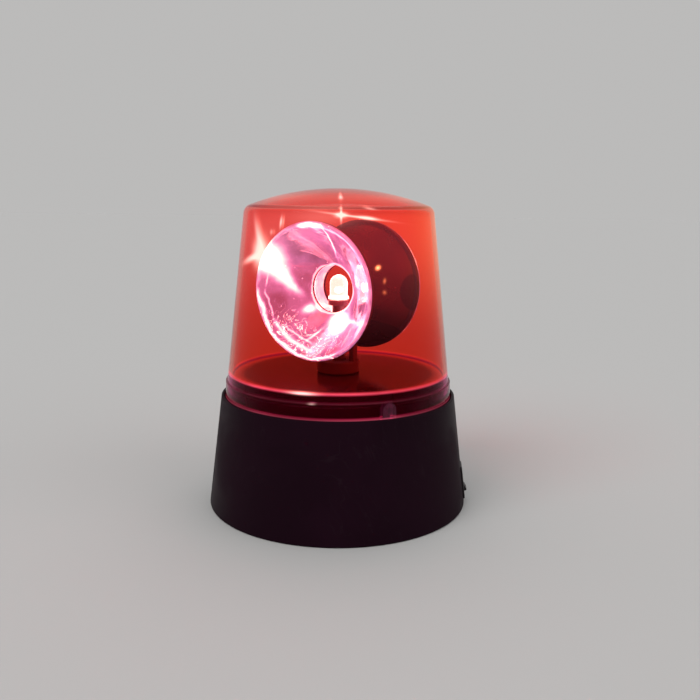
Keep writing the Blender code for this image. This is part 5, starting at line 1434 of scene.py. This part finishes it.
@dataclass
class Dome:
    """Clear red dome in one piece: wider skirt, leaning wall, round shoulder and shallow cap."""

    sides: int = 224
    skirt_bottom: float = 0.0389
    skirt_bottom_radius: float = 0.0434
    flange_radius: float = 0.04307
    flange_height: float = 0.04834
    wall_foot_height: float = 0.05164
    wall_foot_radius: float = 0.04209
    taper: float = math.radians(6.34)
    wall: float = 0.0016
    skirt_wall: float = 0.0017
    apex: float = 0.1201
    cap_radius: float = 0.0928
    shoulder: float = 0.0036
    lug_angles: tuple[float, ...] = tuple(math.radians(a) for a in (-60, 60, 180))
    lug_half_width: float = 0.0025
    lug_bottom: float = 0.0422
    lug_spring: float = 0.0455
    lug_depth: float = 0.0012
    lug_fade: Range = (-0.00005, 0.0003)
    clear: float = 0.0006
    wall_rows: int = 24
    foot_rows: int = 16
    skirt_rows: int = 48
    lug_columns: int = 41
    slot: str = "dome_red"

    def wall_radius(self, inset: float, height: float) -> float:
        """Radius of the wall at a height, moved in by an inset."""
        lean_in = (height - self.wall_foot_height) * math.tan(self.taper)
        return self.wall_foot_radius - inset / math.cos(self.taper) - lean_in

    def line(self, inset: float, foot: float, count: int = 40) -> Profile:
        """Wall, shoulder and cap from a foot height to the apex, moved in by an inset.

        The wall is a straight line at the taper, the shoulder an arc that touches it and the cap, and
        the cap an arc about a point on the axis. The shoulder's centre lies one shoulder radius inside
        both, where the wall's parallel meets a circle of the cap's radius less the shoulder's.

        Args:
            inset: Distance from the outer face.
            foot: Height at which the line starts.
            count: Points on the cap.

        Returns:
            Rows of radius and height.
        """
        across = np.array((math.cos(self.taper), math.sin(self.taper)))
        along = np.array((-math.sin(self.taper), math.cos(self.taper)))
        cap_centre = np.array((0.0, self.apex - self.cap_radius))
        start = np.array((self.wall_foot_radius, self.wall_foot_height)) - across * self.shoulder - cap_centre
        reach = self.cap_radius - self.shoulder
        middle = -float(start @ along)
        travel = middle + math.sqrt(middle**2 - float(start @ start) + reach**2)
        centre = cap_centre + start + along * travel
        top_angle = math.atan2(centre[1] - cap_centre[1], centre[0])
        foot_radius = self.wall_radius(inset, foot)
        turn = np.linspace(self.taper, top_angle, ARC_POINTS)
        shoulder = centre + (self.shoulder - inset) * np.stack([np.cos(turn), np.sin(turn)], axis=1)
        wall = np.linspace((foot_radius, foot), shoulder[0], self.wall_rows)[:-1]
        turn = np.linspace(top_angle, math.pi / 2, count)[1:]
        cap = cap_centre + (self.cap_radius - inset) * np.stack([np.cos(turn), np.sin(turn)], axis=1)
        cap[-1, 0] = 0.0
        return np.vstack([wall, shoulder, cap])

    def profile(self) -> Profile:
        """Closed section from the skirt's inner foot, up the outside, over the apex and down inside."""
        skirt_inner = self.flange_radius - self.skirt_wall
        ledge = self.flange_height - self.wall
        low = [
            (skirt_inner, self.skirt_bottom, FINE),
            (self.skirt_bottom_radius, self.skirt_bottom, PLAIN),
            (self.flange_radius, self.flange_height, SOFT),
            (self.wall_radius(0, self.flange_height), self.flange_height, FINE),
        ]
        outside = self.line(0, self.flange_height + self.clear)
        start = filleted([*low, (*outside[0], 0.0)], closed=False)
        inside = self.line(self.wall, self.flange_height + self.clear)[::-1]
        heights = np.linspace(inside[-1][1], ledge + self.clear / 2, self.foot_rows)
        fine = [(self.wall_radius(self.wall, z), z) for z in heights]
        at_ledge = (self.wall_radius(self.wall, ledge), ledge, HAIR)
        foot = [(*fine[-1], 0.0), at_ledge, (skirt_inner, ledge, HAIR)]
        below = ledge - self.clear
        skirt = np.linspace((skirt_inner, below), (skirt_inner, self.skirt_bottom + SOFT), self.skirt_rows)
        end = filleted([*foot, (skirt_inner, below, 0.0)], closed=False)
        return np.vstack([start, outside[1:], inside[1:-1], fine[:-1], end, skirt[1:]])

    def relief(self, radius: np.ndarray, angle: np.ndarray, height: np.ndarray) -> np.ndarray:
        """Raises the arched lugs on the inner face of the skirt and of the wall's foot.

        A lug's outline is a straight-sided block up to the springing and a half circle above it: the
        distance outside that outline fades the lug's depth out over a third of a millimetre.
        """
        skirt_inner = self.flange_radius - self.skirt_wall
        inner_face = (radius < skirt_inner + TOUCH) & (height < self.flange_height + SOFT)
        raised = np.zeros_like(radius)
        for lug in self.lug_angles:
            turn = wrapped(angle - lug)
            across = np.abs(turn) * skirt_inner
            above = np.maximum(height - self.lug_spring, 0)
            round_off = np.hypot(across, above) - self.lug_half_width
            below = self.lug_bottom - height
            outside = np.maximum(round_off, below)
            raised = np.maximum(raised, 1 - smoothstep(*self.lug_fade, outside))
        return np.where(inner_face, (skirt_inner - self.lug_depth - radius) * raised, 0)

    def build(self, effects: Effects, finish: ClearRedPlastic) -> Piece:
        """Turns the section with its lugs.

        Args:
            effects: The shared node groups.
            finish: Its finish.

        Returns:
            The piece.
        """
        surface = turned(self.profile(), lug_columns(self.sides, self.lug_half_width), relief=self.relief)
        piece = make_piece("dome_shell", surface, Body.BASE, ["dome"])
        dress(piece, finish.build(effects))
        return piece


def lug_columns(sides: int, half_width: float) -> np.ndarray:
    """Angles of the columns of a turned piece: even, with finer ones across each of the dome's lugs.

    Args:
        sides: Columns round the turn.
        half_width: Half the width of what lies at each lug.

    Returns:
        The sorted angles.
    """
    reach = (half_width + Dome.clear) / Dome.flange_radius
    across = np.linspace(-reach, reach, Dome.lug_columns)
    fine = np.concatenate([lug + across for lug in Dome.lug_angles]) % math.tau
    even = around(sides)
    gap = np.abs(wrapped(even[:, None] - fine[None])).min(axis=1)
    return np.sort(np.concatenate([even[gap > LEAST_GAP], fine]))


@dataclass
class Deck:
    """Glossy black deck inside the dome's wall, with a collar inside its skirt."""

    sides: int = 192
    top: float = 0.05064
    thickness: float = 0.0032
    radius: float = 0.04029
    shoulder_radius: float = 0.04076
    hole: float = 0.0056
    collar_radius: float = 0.04107
    collar_inner: float = 0.03887
    collar_top: float = 0.04644
    foot: float = 0.0389
    recess_depth: float = 0.0012
    recess_half_width: float = 0.0028
    recess_bottom: float = 0.0419
    pip_edge: Range = (0.0004, 0.00055)
    collar_rows: int = 44
    post_bore: float = 0.0015
    post_radius: float = 0.0030
    post_ring: float = 0.0375
    post_angle: float = math.radians(60)
    plate_post_ring: float = 0.0285
    plate_post_foot: float = 0.0387
    slot: str = "deck_black"

    def relief(self, radius: np.ndarray, angle: np.ndarray, height: np.ndarray) -> np.ndarray:
        """Recesses in collar and edge for the dome's lugs, open at the top, and a pip in each."""
        face = (radius > self.collar_radius - self.recess_depth) & (height > self.foot + PLAIN)
        cut = np.zeros_like(radius)
        pip = np.zeros_like(radius)
        for lug in Dome.lug_angles:
            turn = wrapped(angle - lug)
            across = np.abs(turn) * self.collar_radius
            outside = np.maximum(across - self.recess_half_width, self.recess_bottom - height)
            cut = np.maximum(cut, 1 - smoothstep(-HAIR, 0.0, outside))
            away = np.hypot(across, height - Dome.lug_spring)
            pip = np.maximum(pip, 1 - smoothstep(*self.pip_edge, away))
        depth = np.maximum(radius - (self.collar_radius - self.recess_depth), 0)
        return np.where(face, depth * np.minimum(pip - cut, 0), 0)

    def build(self, effects: Effects, finish: MouldedPlastic) -> Piece:
        """Turns the section of deck and collar and stands the posts under it.

        Args:
            effects: The shared node groups.
            finish: Its finish.

        Returns:
            The piece.
        """
        under = self.top - self.thickness
        rows = np.linspace(self.collar_top - ROUND, self.foot + ROUND, self.collar_rows)[::-1]
        corners = [
            (self.hole, under, FINE),
            (self.collar_inner, under, SOFT),
            (self.collar_inner, self.foot, PLAIN),
            (self.collar_radius, self.foot, PLAIN),
            *[(self.collar_radius, height, 0.0) for height in rows],
            (self.collar_radius, self.collar_top, HAIR),
            (self.shoulder_radius, self.collar_top, 0.0001),
            (self.radius, self.top, ROUND),
            (self.hole, self.top, SOFT),
        ]
        plate = turned(filleted(corners), lug_columns(self.sides, self.recess_half_width), relief=self.relief)
        rings = (
            (self.foot, self.post_ring, self.post_angle),
            (self.plate_post_foot, self.plate_post_ring, 0.0),
        )
        posts = [
            tube(self.post_bore, self.post_radius, foot, under + FINE, place)
            for foot, ring, first in rings
            for place in ring_places(ring, first)
        ]
        piece = make_piece("deck_plate", plate.joined(*posts), Body.BASE, ["deck"])
        dress(piece, finish.build(effects))
        return piece


@dataclass
class Turret:
    """What turns: the frame on its hollow hub and the two mirror bowls, back to back."""

    yaw: float = math.radians(-27.0)
    height: float = 0.0830
    hub_radius: float = 0.0081
    hub_bottom: float = 0.05094
    hub_top: float = 0.0555
    neck_radius: float = 0.0050
    neck_bottom: float = 0.04384
    bore: float = 0.0030
    stem_inner: float = 0.0056
    stem_outer: float = 0.0078
    stem_half_depth: float = 0.0015
    ring_inner: float = 0.0090
    ring_outer: float = 0.0115
    ring_half_depth: float = 0.0031
    bowl_hole: float = 0.0090
    bowl_hole_distance: float = 0.0044
    bowl_rim: float = 0.0253
    bowl_rim_distance: float = 0.0188
    bowl_wall: float = 0.0010
    bead: float = 0.0007
    lip_drops: Range = (0.0020, 0.0022)
    lip_step: float = 0.0006
    stem_overlap: float = 0.0014
    post_gap: float = 0.0033
    edge_on: float = 0.02
    frame_sides: int = 96
    bowl_sides: int = 224
    bowl_rows: int = 48
    frame_slot: str = "gear_black"
    bowl_slot: str = "mirror_coat"

    def turn(self) -> Matrix:
        """Rotation of the turret about the lamp's axis at rest."""
        return Matrix.Rotation(self.yaw, 4, "Z")

    def frame_surface(self) -> Surface:
        """Hub turned round Z, and the stem as an upright slab that reaches into the ring."""
        hub = filleted(
            [
                (self.bore, self.neck_bottom, FINE),
                (self.neck_radius, self.neck_bottom, FINE),
                (self.neck_radius, self.hub_bottom, 0.0),
                (self.hub_radius, self.hub_bottom, SOFT),
                (self.hub_radius, self.hub_top, FULL),
                (self.bore, self.hub_top, SOFT),
            ]
        )
        middle = (self.stem_inner + self.stem_outer) / 2
        half = (self.stem_outer - self.stem_inner) / 2
        outline = rounded_rectangle(half, self.stem_half_depth, ROUND) + np.array((middle, 0.0))
        stem = slab(outline, self.hub_top - FULL, self.height - self.ring_inner + self.stem_overlap, PLAIN)
        return turned(hub, around(self.frame_sides)).joined(stem).moved(self.turn())

    def ring_surface(self) -> Surface:
        """Ring between the bowls: its section turned round Y, all but the gap below for the post."""
        ring = filleted(
            [
                (self.ring_inner, -self.ring_half_depth, PLAIN),
                (self.ring_outer, -self.ring_half_depth, PLAIN),
                (self.ring_outer, self.ring_half_depth, PLAIN),
                (self.ring_inner, self.ring_half_depth, PLAIN),
            ]
        )
        gap = math.asin(self.post_gap / self.ring_inner)
        angles = np.linspace(math.radians(90) + gap, math.radians(450) - gap, self.frame_sides)
        loop = turned(ring, angles, whole=False)
        grid = loop.points.reshape(len(ring), len(angles), 3)
        caps = []
        for edge in (grid[:, 0], grid[:, -1]):
            middle = np.tile(edge.mean(axis=0), (len(ring), 1))
            caps.append(quads(np.stack([edge, middle]), wrap_columns=True))
        across = Matrix.Translation((0, 0, self.height)) @ Matrix.Rotation(math.radians(90), 4, "X")
        half_turn = Matrix.Rotation(math.radians(180), 4, "Z")
        return loop.joined(*caps).moved(self.turn() @ across @ half_turn)

    def back_faces(self, bowl: Piece, facing: Facing) -> None:
        """Puts the second material on the faces that look away from where the bowl does.

        Args:
            bowl: The bowl, in place.
            facing: Which way it looks.
        """
        count = len(bowl.data.polygons)
        normals = np.empty(count * 3)
        bowl.data.polygon_normals.foreach_get("vector", normals)
        ahead = self.turn().to_3x3() @ Vector((0, facing.value, 0))
        away = normals.reshape(-1, 3) @ np.array(ahead) < self.edge_on
        bowl.data.polygons.foreach_set("material_index", away.astype(np.int32))

    def bowl_surface(self, facing: Facing) -> Surface:
        """Parabola from the hole to the rim, a rolled bead round the rim, and the same line as its back.

        The depth grows with the square of the radius, from the hole's distance to the rim's.

        Args:
            facing: Which way the bowl looks.

        Returns:
            The closed surface, in place.
        """
        inner_rim = self.bowl_rim - self.bowl_wall
        radius = np.linspace(self.bowl_hole, inner_rim, self.bowl_rows)
        spread = inner_rim**2 - self.bowl_hole**2
        rise = self.bowl_rim_distance - self.bowl_hole_distance
        depth = self.bowl_hole_distance + rise * (radius**2 - self.bowl_hole**2) / spread
        front = np.column_stack([radius, depth])
        back = np.column_stack([radius, depth - self.bowl_wall])
        turn = np.linspace(math.pi, 0, ARC_POINTS)[1:]
        bead_middle = np.array((self.bowl_rim - self.bead, self.bowl_rim_distance - self.bead))
        bead = bead_middle + self.bead * np.column_stack([np.cos(turn), np.sin(turn)])
        lip_distances = self.bowl_rim_distance - np.array(self.lip_drops)
        lip = np.column_stack([(self.bowl_rim, self.bowl_rim - self.lip_step), lip_distances])
        section = np.vstack([front[:-1], bead, lip, back[:-2][::-1]])
        look = Matrix.Rotation(math.radians(-90 * facing.value), 4, "X")
        face = Matrix.Translation((0, 0, self.height)) @ look
        return turned(section, around(self.bowl_sides)).moved(self.turn() @ face)

    def build(self, effects: Effects, black: MouldedPlastic, mirror: MirrorCoat) -> list[Piece]:
        """Makes the frame and both bowls.

        Args:
            effects: The shared node groups.
            black: Finish of the frame.
            mirror: Finish of the bowls.

        Returns:
            The frame, the ring and the two bowls.
        """
        shape = self.frame_surface()
        carrier = make_piece("turret_carrier", shape, Body.TURRET, ["turret_frame"])
        dress(carrier, black.build(effects))
        coat = mirror.build(effects)
        back = BowlBack(height=self.height, yaw=self.yaw).build(effects)
        ring = make_piece("bowl_ring", self.ring_surface(), Body.TURRET)
        dress(ring, coat)
        pieces = [carrier, ring]
        for facing, node in ((Facing.FRONT, "reflector_front"), (Facing.REAR, "reflector_rear")):
            name = f"mirror_bowl_{facing.name.lower()}"
            bowl = make_piece(name, self.bowl_surface(facing), Body.TURRET, [node])
            dress(bowl, coat)
            bowl.data.materials.append(back)
            self.back_faces(bowl, facing)
            pieces.append(bowl)
        return pieces


@dataclass
class Lamp:
    """Post, socket and round clear lamp, with the lit chip inside it."""

    post_radius: float = 0.0024
    bore: float = 0.0016
    foot_radius: float = 0.0050
    foot_bottom: float = 0.0346
    foot_top: float = 0.0361
    socket_bottom: float = 0.0765
    socket_top: float = 0.0785
    socket_radius: float = 0.0040
    bottom: float = 0.0788
    flange_radius: float = 0.0039
    flange_height: float = 0.0010
    radius: float = 0.0034
    body_height: float = 0.0048
    chip_height: float = 0.0822
    chip_radius: float = 0.0011
    sides: int = 64
    chip_sides: int = 32
    arc_points: int = 17
    slot: str = "lamp_clear"

    def build(self, effects: Effects, black: MouldedPlastic, lens: ClearLens, light: LitGlow) -> list[Piece]:
        """Makes the post, the lens and the chip.

        Args:
            effects: The shared node groups.
            black: Finish of the post.
            lens: Finish of the lens.
            light: Finish of the chip.

        Returns:
            The three pieces.
        """
        post = filleted(
            [
                (self.bore, self.foot_bottom, FINE),
                (self.foot_radius, self.foot_bottom, PLAIN),
                (self.foot_radius, self.foot_top, PLAIN),
                (self.post_radius, self.foot_top, SOFT),
                (self.post_radius, self.socket_bottom, ROUND),
                (self.socket_radius, self.socket_bottom, PLAIN),
                (self.socket_radius, self.socket_top, PLAIN),
                (self.bore, self.socket_top, PLAIN),
            ]
        )
        shape = turned(post, around(self.sides))
        stand = make_piece("lamp_stand", shape, Body.BASE, ["lamp_post"])
        dress(stand, black.build(effects))
        step = self.bottom + self.flange_height
        top = step + self.body_height
        body = filleted(
            [
                (0.0, self.bottom, 0.0),
                (self.flange_radius, self.bottom, FINE),
                (self.flange_radius, step, FINE),
                (self.radius, step, FINE),
                (self.radius, top, 0.0),
            ],
            closed=False,
        )
        turn = np.linspace(0, math.pi / 2, self.arc_points)[1:]
        cap = np.column_stack([self.radius * np.cos(turn), top + self.radius * np.sin(turn)])
        cap[-1, 0] = 0.0
        shape = turned(np.vstack([body, cap]), around(self.sides), closed=False)
        bulb = make_piece("lamp_lens", shape, Body.BASE, ["led_lamp"])
        dress(bulb, lens.build(effects))
        turn = np.linspace(-math.pi / 2, math.pi / 2, self.arc_points)
        ball = self.chip_radius * np.column_stack([np.cos(turn), np.sin(turn)]) + (0.0, self.chip_height)
        ball[[0, -1], 0] = 0.0
        shape = turned(ball, around(self.chip_sides), closed=False)
        chip = make_piece("lamp_chip", shape, Body.BASE)
        dress(chip, light.build())
        return [stand, bulb, chip]


@dataclass
class Switch:
    """Rocker switch on the sloping wall, with its lower end out."""

    base: BaseShell = field(default_factory=BaseShell)
    bezel_half_width: float = 0.0045
    bezel_half_length: float = 0.0065
    bezel_thickness: float = 0.0013
    well_half_width: float = 0.00275
    well_half_length: float = 0.0051
    body_half_width: float = 0.00345
    body_half_length: float = 0.0056
    body_depth: float = 0.0087
    rocker_tilt: float = math.radians(13.0)
    axis_depth: float = 0.0007
    rocker_half_length: float = 0.0044
    rocker_foot: float = 0.0040
    end_rise: float = 0.0023
    middle_rise: float = 0.0013
    foot_depth: float = 0.0012
    rocker_half_width: float = 0.00245
    rocker_edge: float = 0.00035
    rocker_hollow: float = 0.009
    well_depth: float = 0.0042
    bezel_corner: float = 0.0009
    bezel_top_corner: float = 0.0008
    bezel_gap: float = 0.0001
    slot: str = "switch_black"

    def seat(self) -> Matrix:
        """Frame on the wall: Z points out of it, Y runs up along it and X to the left of one who faces it."""
        shell = self.base
        out = shell.foot_radius - shell.switch_height * math.tan(shell.tilt())
        there = Vector((out, 0, shell.switch_height))
        lean = Matrix.Rotation(-shell.tilt(), 4, "Y")
        return Matrix.Translation(there) @ lean @ Matrix.Translation((-shell.pad_depth, 0, 0)) @ CYCLED

    def bezel_surface(self) -> Surface:
        """Frame of the switch: rounded rectangles from the body's back, round the bezel, into the well.

        Returns:
            The closed surface about the seat.
        """
        body = (self.body_half_width, self.body_half_length, SOFT)
        width, length, top = self.bezel_half_width, self.bezel_half_length, self.bezel_thickness
        well = (self.well_half_width, self.well_half_length, SOFT)
        rings = [
            (SOFT, SOFT, SOFT, -self.body_depth),
            (*body, -self.body_depth),
            (*body, -self.bezel_gap),
            (width, length, self.bezel_corner, 0.0),
            (width, length, self.bezel_corner, top - ROUND),
            (width - HAIR, length - HAIR, self.bezel_corner, top - HAIR),
            (width - ROUND, length - ROUND, self.bezel_top_corner, top),
            (self.well_half_width + FINE, self.well_half_length + FINE, ROUND, top),
            (*well, top - FINE),
            (*well, -self.well_depth),
            (PLAIN, PLAIN, PLAIN, -self.well_depth),
        ]
        levels = []
        for half_x, half_y, corner, height in rings:
            outline = rounded_rectangle(half_x, half_y, corner)
            levels.append(np.column_stack([outline, np.full(len(outline), height)]))
        return quads(np.stack(levels), wrap_columns=True)

    def rocker_surface(self) -> Surface:
        """Rocker: its side outline, hollow between two raised ends, carried across the width."""
        outline = filleted(
            [
                (-self.rocker_foot, -self.foot_depth, PLAIN),
                (self.rocker_foot, -self.foot_depth, PLAIN),
                (self.rocker_half_length, self.end_rise, ROUND),
                (0.0, self.middle_rise, self.rocker_hollow),
                (-self.rocker_half_length, self.end_rise, ROUND),
            ]
        )
        return slab(outline, -self.rocker_half_width, self.rocker_half_width, self.rocker_edge).moved(CYCLED)

    def build(self, effects: Effects, finish: MouldedPlastic) -> list[Piece]:
        """Makes the bezel and the rocker.

        Args:
            effects: The shared node groups.
            finish: Finish of both.

        Returns:
            The two pieces.
        """
        material = finish.build(effects)
        frame_shape = self.bezel_surface().moved(self.seat())
        bezel = make_piece("switch_bezel", frame_shape, Body.BASE, ["switch_housing"])
        dress(bezel, material)
        tip = Matrix.Translation((0, 0, -self.axis_depth)) @ Matrix.Rotation(-self.rocker_tilt, 4, "X")
        rocker_shape = self.rocker_surface().moved(self.seat() @ tip)
        rocker = make_piece("rocker_cap", rocker_shape, Body.ROCKER, ["switch_rocker"])
        dress(rocker, material)
        return [bezel, rocker]


@dataclass
class PackedNodes:
    """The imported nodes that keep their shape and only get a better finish."""

    def build(self, effects: Effects) -> None:
        """Dresses every node that still shows, by its material slot."""
        grey, dark = (0.030, 0.028, 0.030), (0.014, 0.012, 0.014)
        finishes = {
            "base_black": MouldedPlastic("case plastic", (0.016, 0.010, 0.014), (0.42, 0.58)),
            "deck_black": MouldedPlastic("deck plastic", (0.012, 0.008, 0.010), (0.22, 0.34)),
            "gear_black": MouldedPlastic("gear plastic", grey, (0.34, 0.48), grain_depth=0.1),
            "switch_black": MouldedPlastic("switch plastic", dark, (0.20, 0.32), grain_depth=0.08),
            "steel": BrightMetal("plated steel", (0.58, 0.58, 0.60)),
            "brass": BrightMetal("plain brass", (0.74, 0.58, 0.32)),
            "cell_jacket": MouldedPlastic("cell sleeve", (0.09, 0.13, 0.23), (0.25, 0.35), grain_depth=0.03),
            "board_green": MouldedPlastic("solder mask", (0.02, 0.17, 0.08), (0.28, 0.40), grain_depth=0.08),
            "chip_black": MouldedPlastic("chip moulding", (0.02,) * 3, (0.45, 0.6)),
            "can_grey": BrightMetal("capacitor can", (0.36, 0.37, 0.40)),
            "lead_red": MouldedPlastic("red insulation", (0.55, 0.03, 0.03), (0.4, 0.55), grain_depth=0.05),
            "lead_black": MouldedPlastic("black insulation", (0.02,) * 3, (0.4, 0.55), grain_depth=0.05),
        }
        materials = {slot: finish.build(effects) for slot, finish in finishes.items()}
        for part in frame["record"]["subparts"]:
            node = frame["nodes"][part["node"]]
            if not node.hide_render and part["material_slot"] in materials:
                dress(node, materials[part["material_slot"]])


@dataclass
class Studio:
    """Plain pale floor, soft light and the camera at the photograph's angle."""

    pale: Colour = (0.50, 0.495, 0.49)
    ambient: float = 0.56
    floor_half: float = 6.0
    camera_place: Triple = (0.0306, -0.2982, 0.1152)
    camera_pitch: float = math.radians(10.63)
    camera_roll: float = 0.009
    camera_turn: float = math.radians(5.0)
    focal_share: float = 790.6 / 700

    def build(self) -> None:
        """Sets up the world, the floor, the lamps and the camera."""
        self._world()
        self._floor()
        self._sun("key", (-0.55, -0.65, 0.80), 35.0, 1.05)
        self._sun("fill", (0.80, -0.35, 0.55), 50.0, 0.45)
        self._sun("top", (0.05, 0.45, 0.95), 50.0, 0.47)
        self._camera()

    def _world(self) -> None:
        """A pale world: camera, mirror and glass rays see the background, other rays the soft light."""
        world = bpy.data.worlds.new("studio")
        bpy.context.scene.world = world
        world.use_nodes = True
        nodes = Nodes(world.node_tree)
        shader = world.node_tree.nodes["Background"]
        path = nodes.new("LightPath")
        seen = nodes.maths("MAXIMUM", path.outputs["Is Camera Ray"], path.outputs["Is Glossy Ray"])
        seen = nodes.maths("MAXIMUM", seen, path.outputs["Is Transmission Ray"])
        level = (self.ambient, self.ambient, self.ambient, 1)
        nodes.feed(shader.inputs["Color"], nodes.blend(seen, level, (*self.pale, 1)))

    def _floor(self) -> None:
        """A large plain floor whose plain look is the world's, with the lamp's shadow kept on it."""
        half = self.floor_half
        surface = quads(np.array([[(x, y, 0.0) for x in (-half, half)] for y in (-half, half)]))
        mesh = bpy.data.meshes.new("floor")
        mesh.from_pydata(surface.points.tolist(), [], surface.faces.tolist())
        floor = bpy.data.objects.new("floor", mesh)
        bpy.context.scene.collection.objects.link(floor)
        material, nodes, shader = start_material("pale floor")
        nodes.fill(shader, {"Base Color": (*self.pale, 1), "Roughness": 0.6, "Specular IOR Level": 0.0})
        dress(floor, material)

    @staticmethod
    def _sun(name: str, place: Triple, spread: float, power: float) -> None:
        """A broad soft light from one side.

        Args:
            name: Name of the light.
            place: The side that it comes from.
            spread: How broad it looks, in degrees.
            power: Its power on a square metre, in watts.
        """
        data = bpy.data.lights.new(name, "SUN")
        data.angle = math.radians(spread)
        data.energy = power
        lamp = bpy.data.objects.new(name, data)
        lamp.rotation_euler = (-Vector(place)).to_track_quat("-Z", "Y").to_euler()
        bpy.context.scene.collection.objects.link(lamp)

    def _camera(self) -> None:
        """A camera where the photograph's stood, found from the outline of the lamp."""
        data = bpy.data.cameras.new("camera")
        data.sensor_fit = "HORIZONTAL"
        data.lens = self.focal_share * data.sensor_width
        data.clip_start = 0.01
        camera = bpy.data.objects.new("camera", data)
        turn = Matrix.Rotation(self.camera_turn, 4, "Z")
        look = Matrix.Rotation(math.radians(90) - self.camera_pitch, 4, "X")
        roll = Matrix.Rotation(self.camera_roll, 4, "Z")
        camera.matrix_world = Matrix.Translation(self.camera_place) @ turn @ look @ roll
        bpy.context.scene.collection.objects.link(camera)
        bpy.context.scene.camera = camera


def main() -> None:
    """Builds every sub-assembly in order, then the studio."""
    logging.basicConfig(level=logging.INFO, format="%(name)s: %(message)s")
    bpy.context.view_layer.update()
    bpy.context.scene.view_settings.view_transform = "Standard"
    effects = Effects()
    matt = MouldedPlastic("base plastic", (0.0115, 0.0022, 0.0068), (0.42, 0.58), specular=0.04)
    BaseShell().build(effects, matt)
    # Painted light: the deck's halo is an emission on its outer part, standing in for the light from the
    # dome's wall that falls there
    smooth = {"grain_depth": 0.0, "scuff": 0.0, "halo": (0.30, 0.05, 0.03)}
    gloss = MouldedPlastic("deck gloss", (0.055, 0.009, 0.026), (0.12, 0.20), **smooth)
    Deck().build(effects, gloss)
    # Painted light: this black plastic, on the turret's frame and the lamp's post, is lifted to a dull red
    # that stands in for the red light falling on it under the dome
    black = MouldedPlastic("turret plastic", (0.19, 0.08, 0.11), (0.25, 0.38), grain_depth=0.05)
    Turret().build(effects, black, MirrorCoat())
    Lamp().build(effects, black, ClearLens(), LitGlow("lit chip", (1.0, 0.92, 0.95), 60.0))
    sheen = {"grain_depth": 0.05, "specular": 0.15}
    Switch().build(effects, MouldedPlastic("rocker plastic", (0.008, 0.004, 0.006), (0.25, 0.36), **sheen))
    Dome().build(effects, ClearRedPlastic())
    PackedNodes().build(effects)
    Studio().build()


if __name__ == "__main__":
    main()
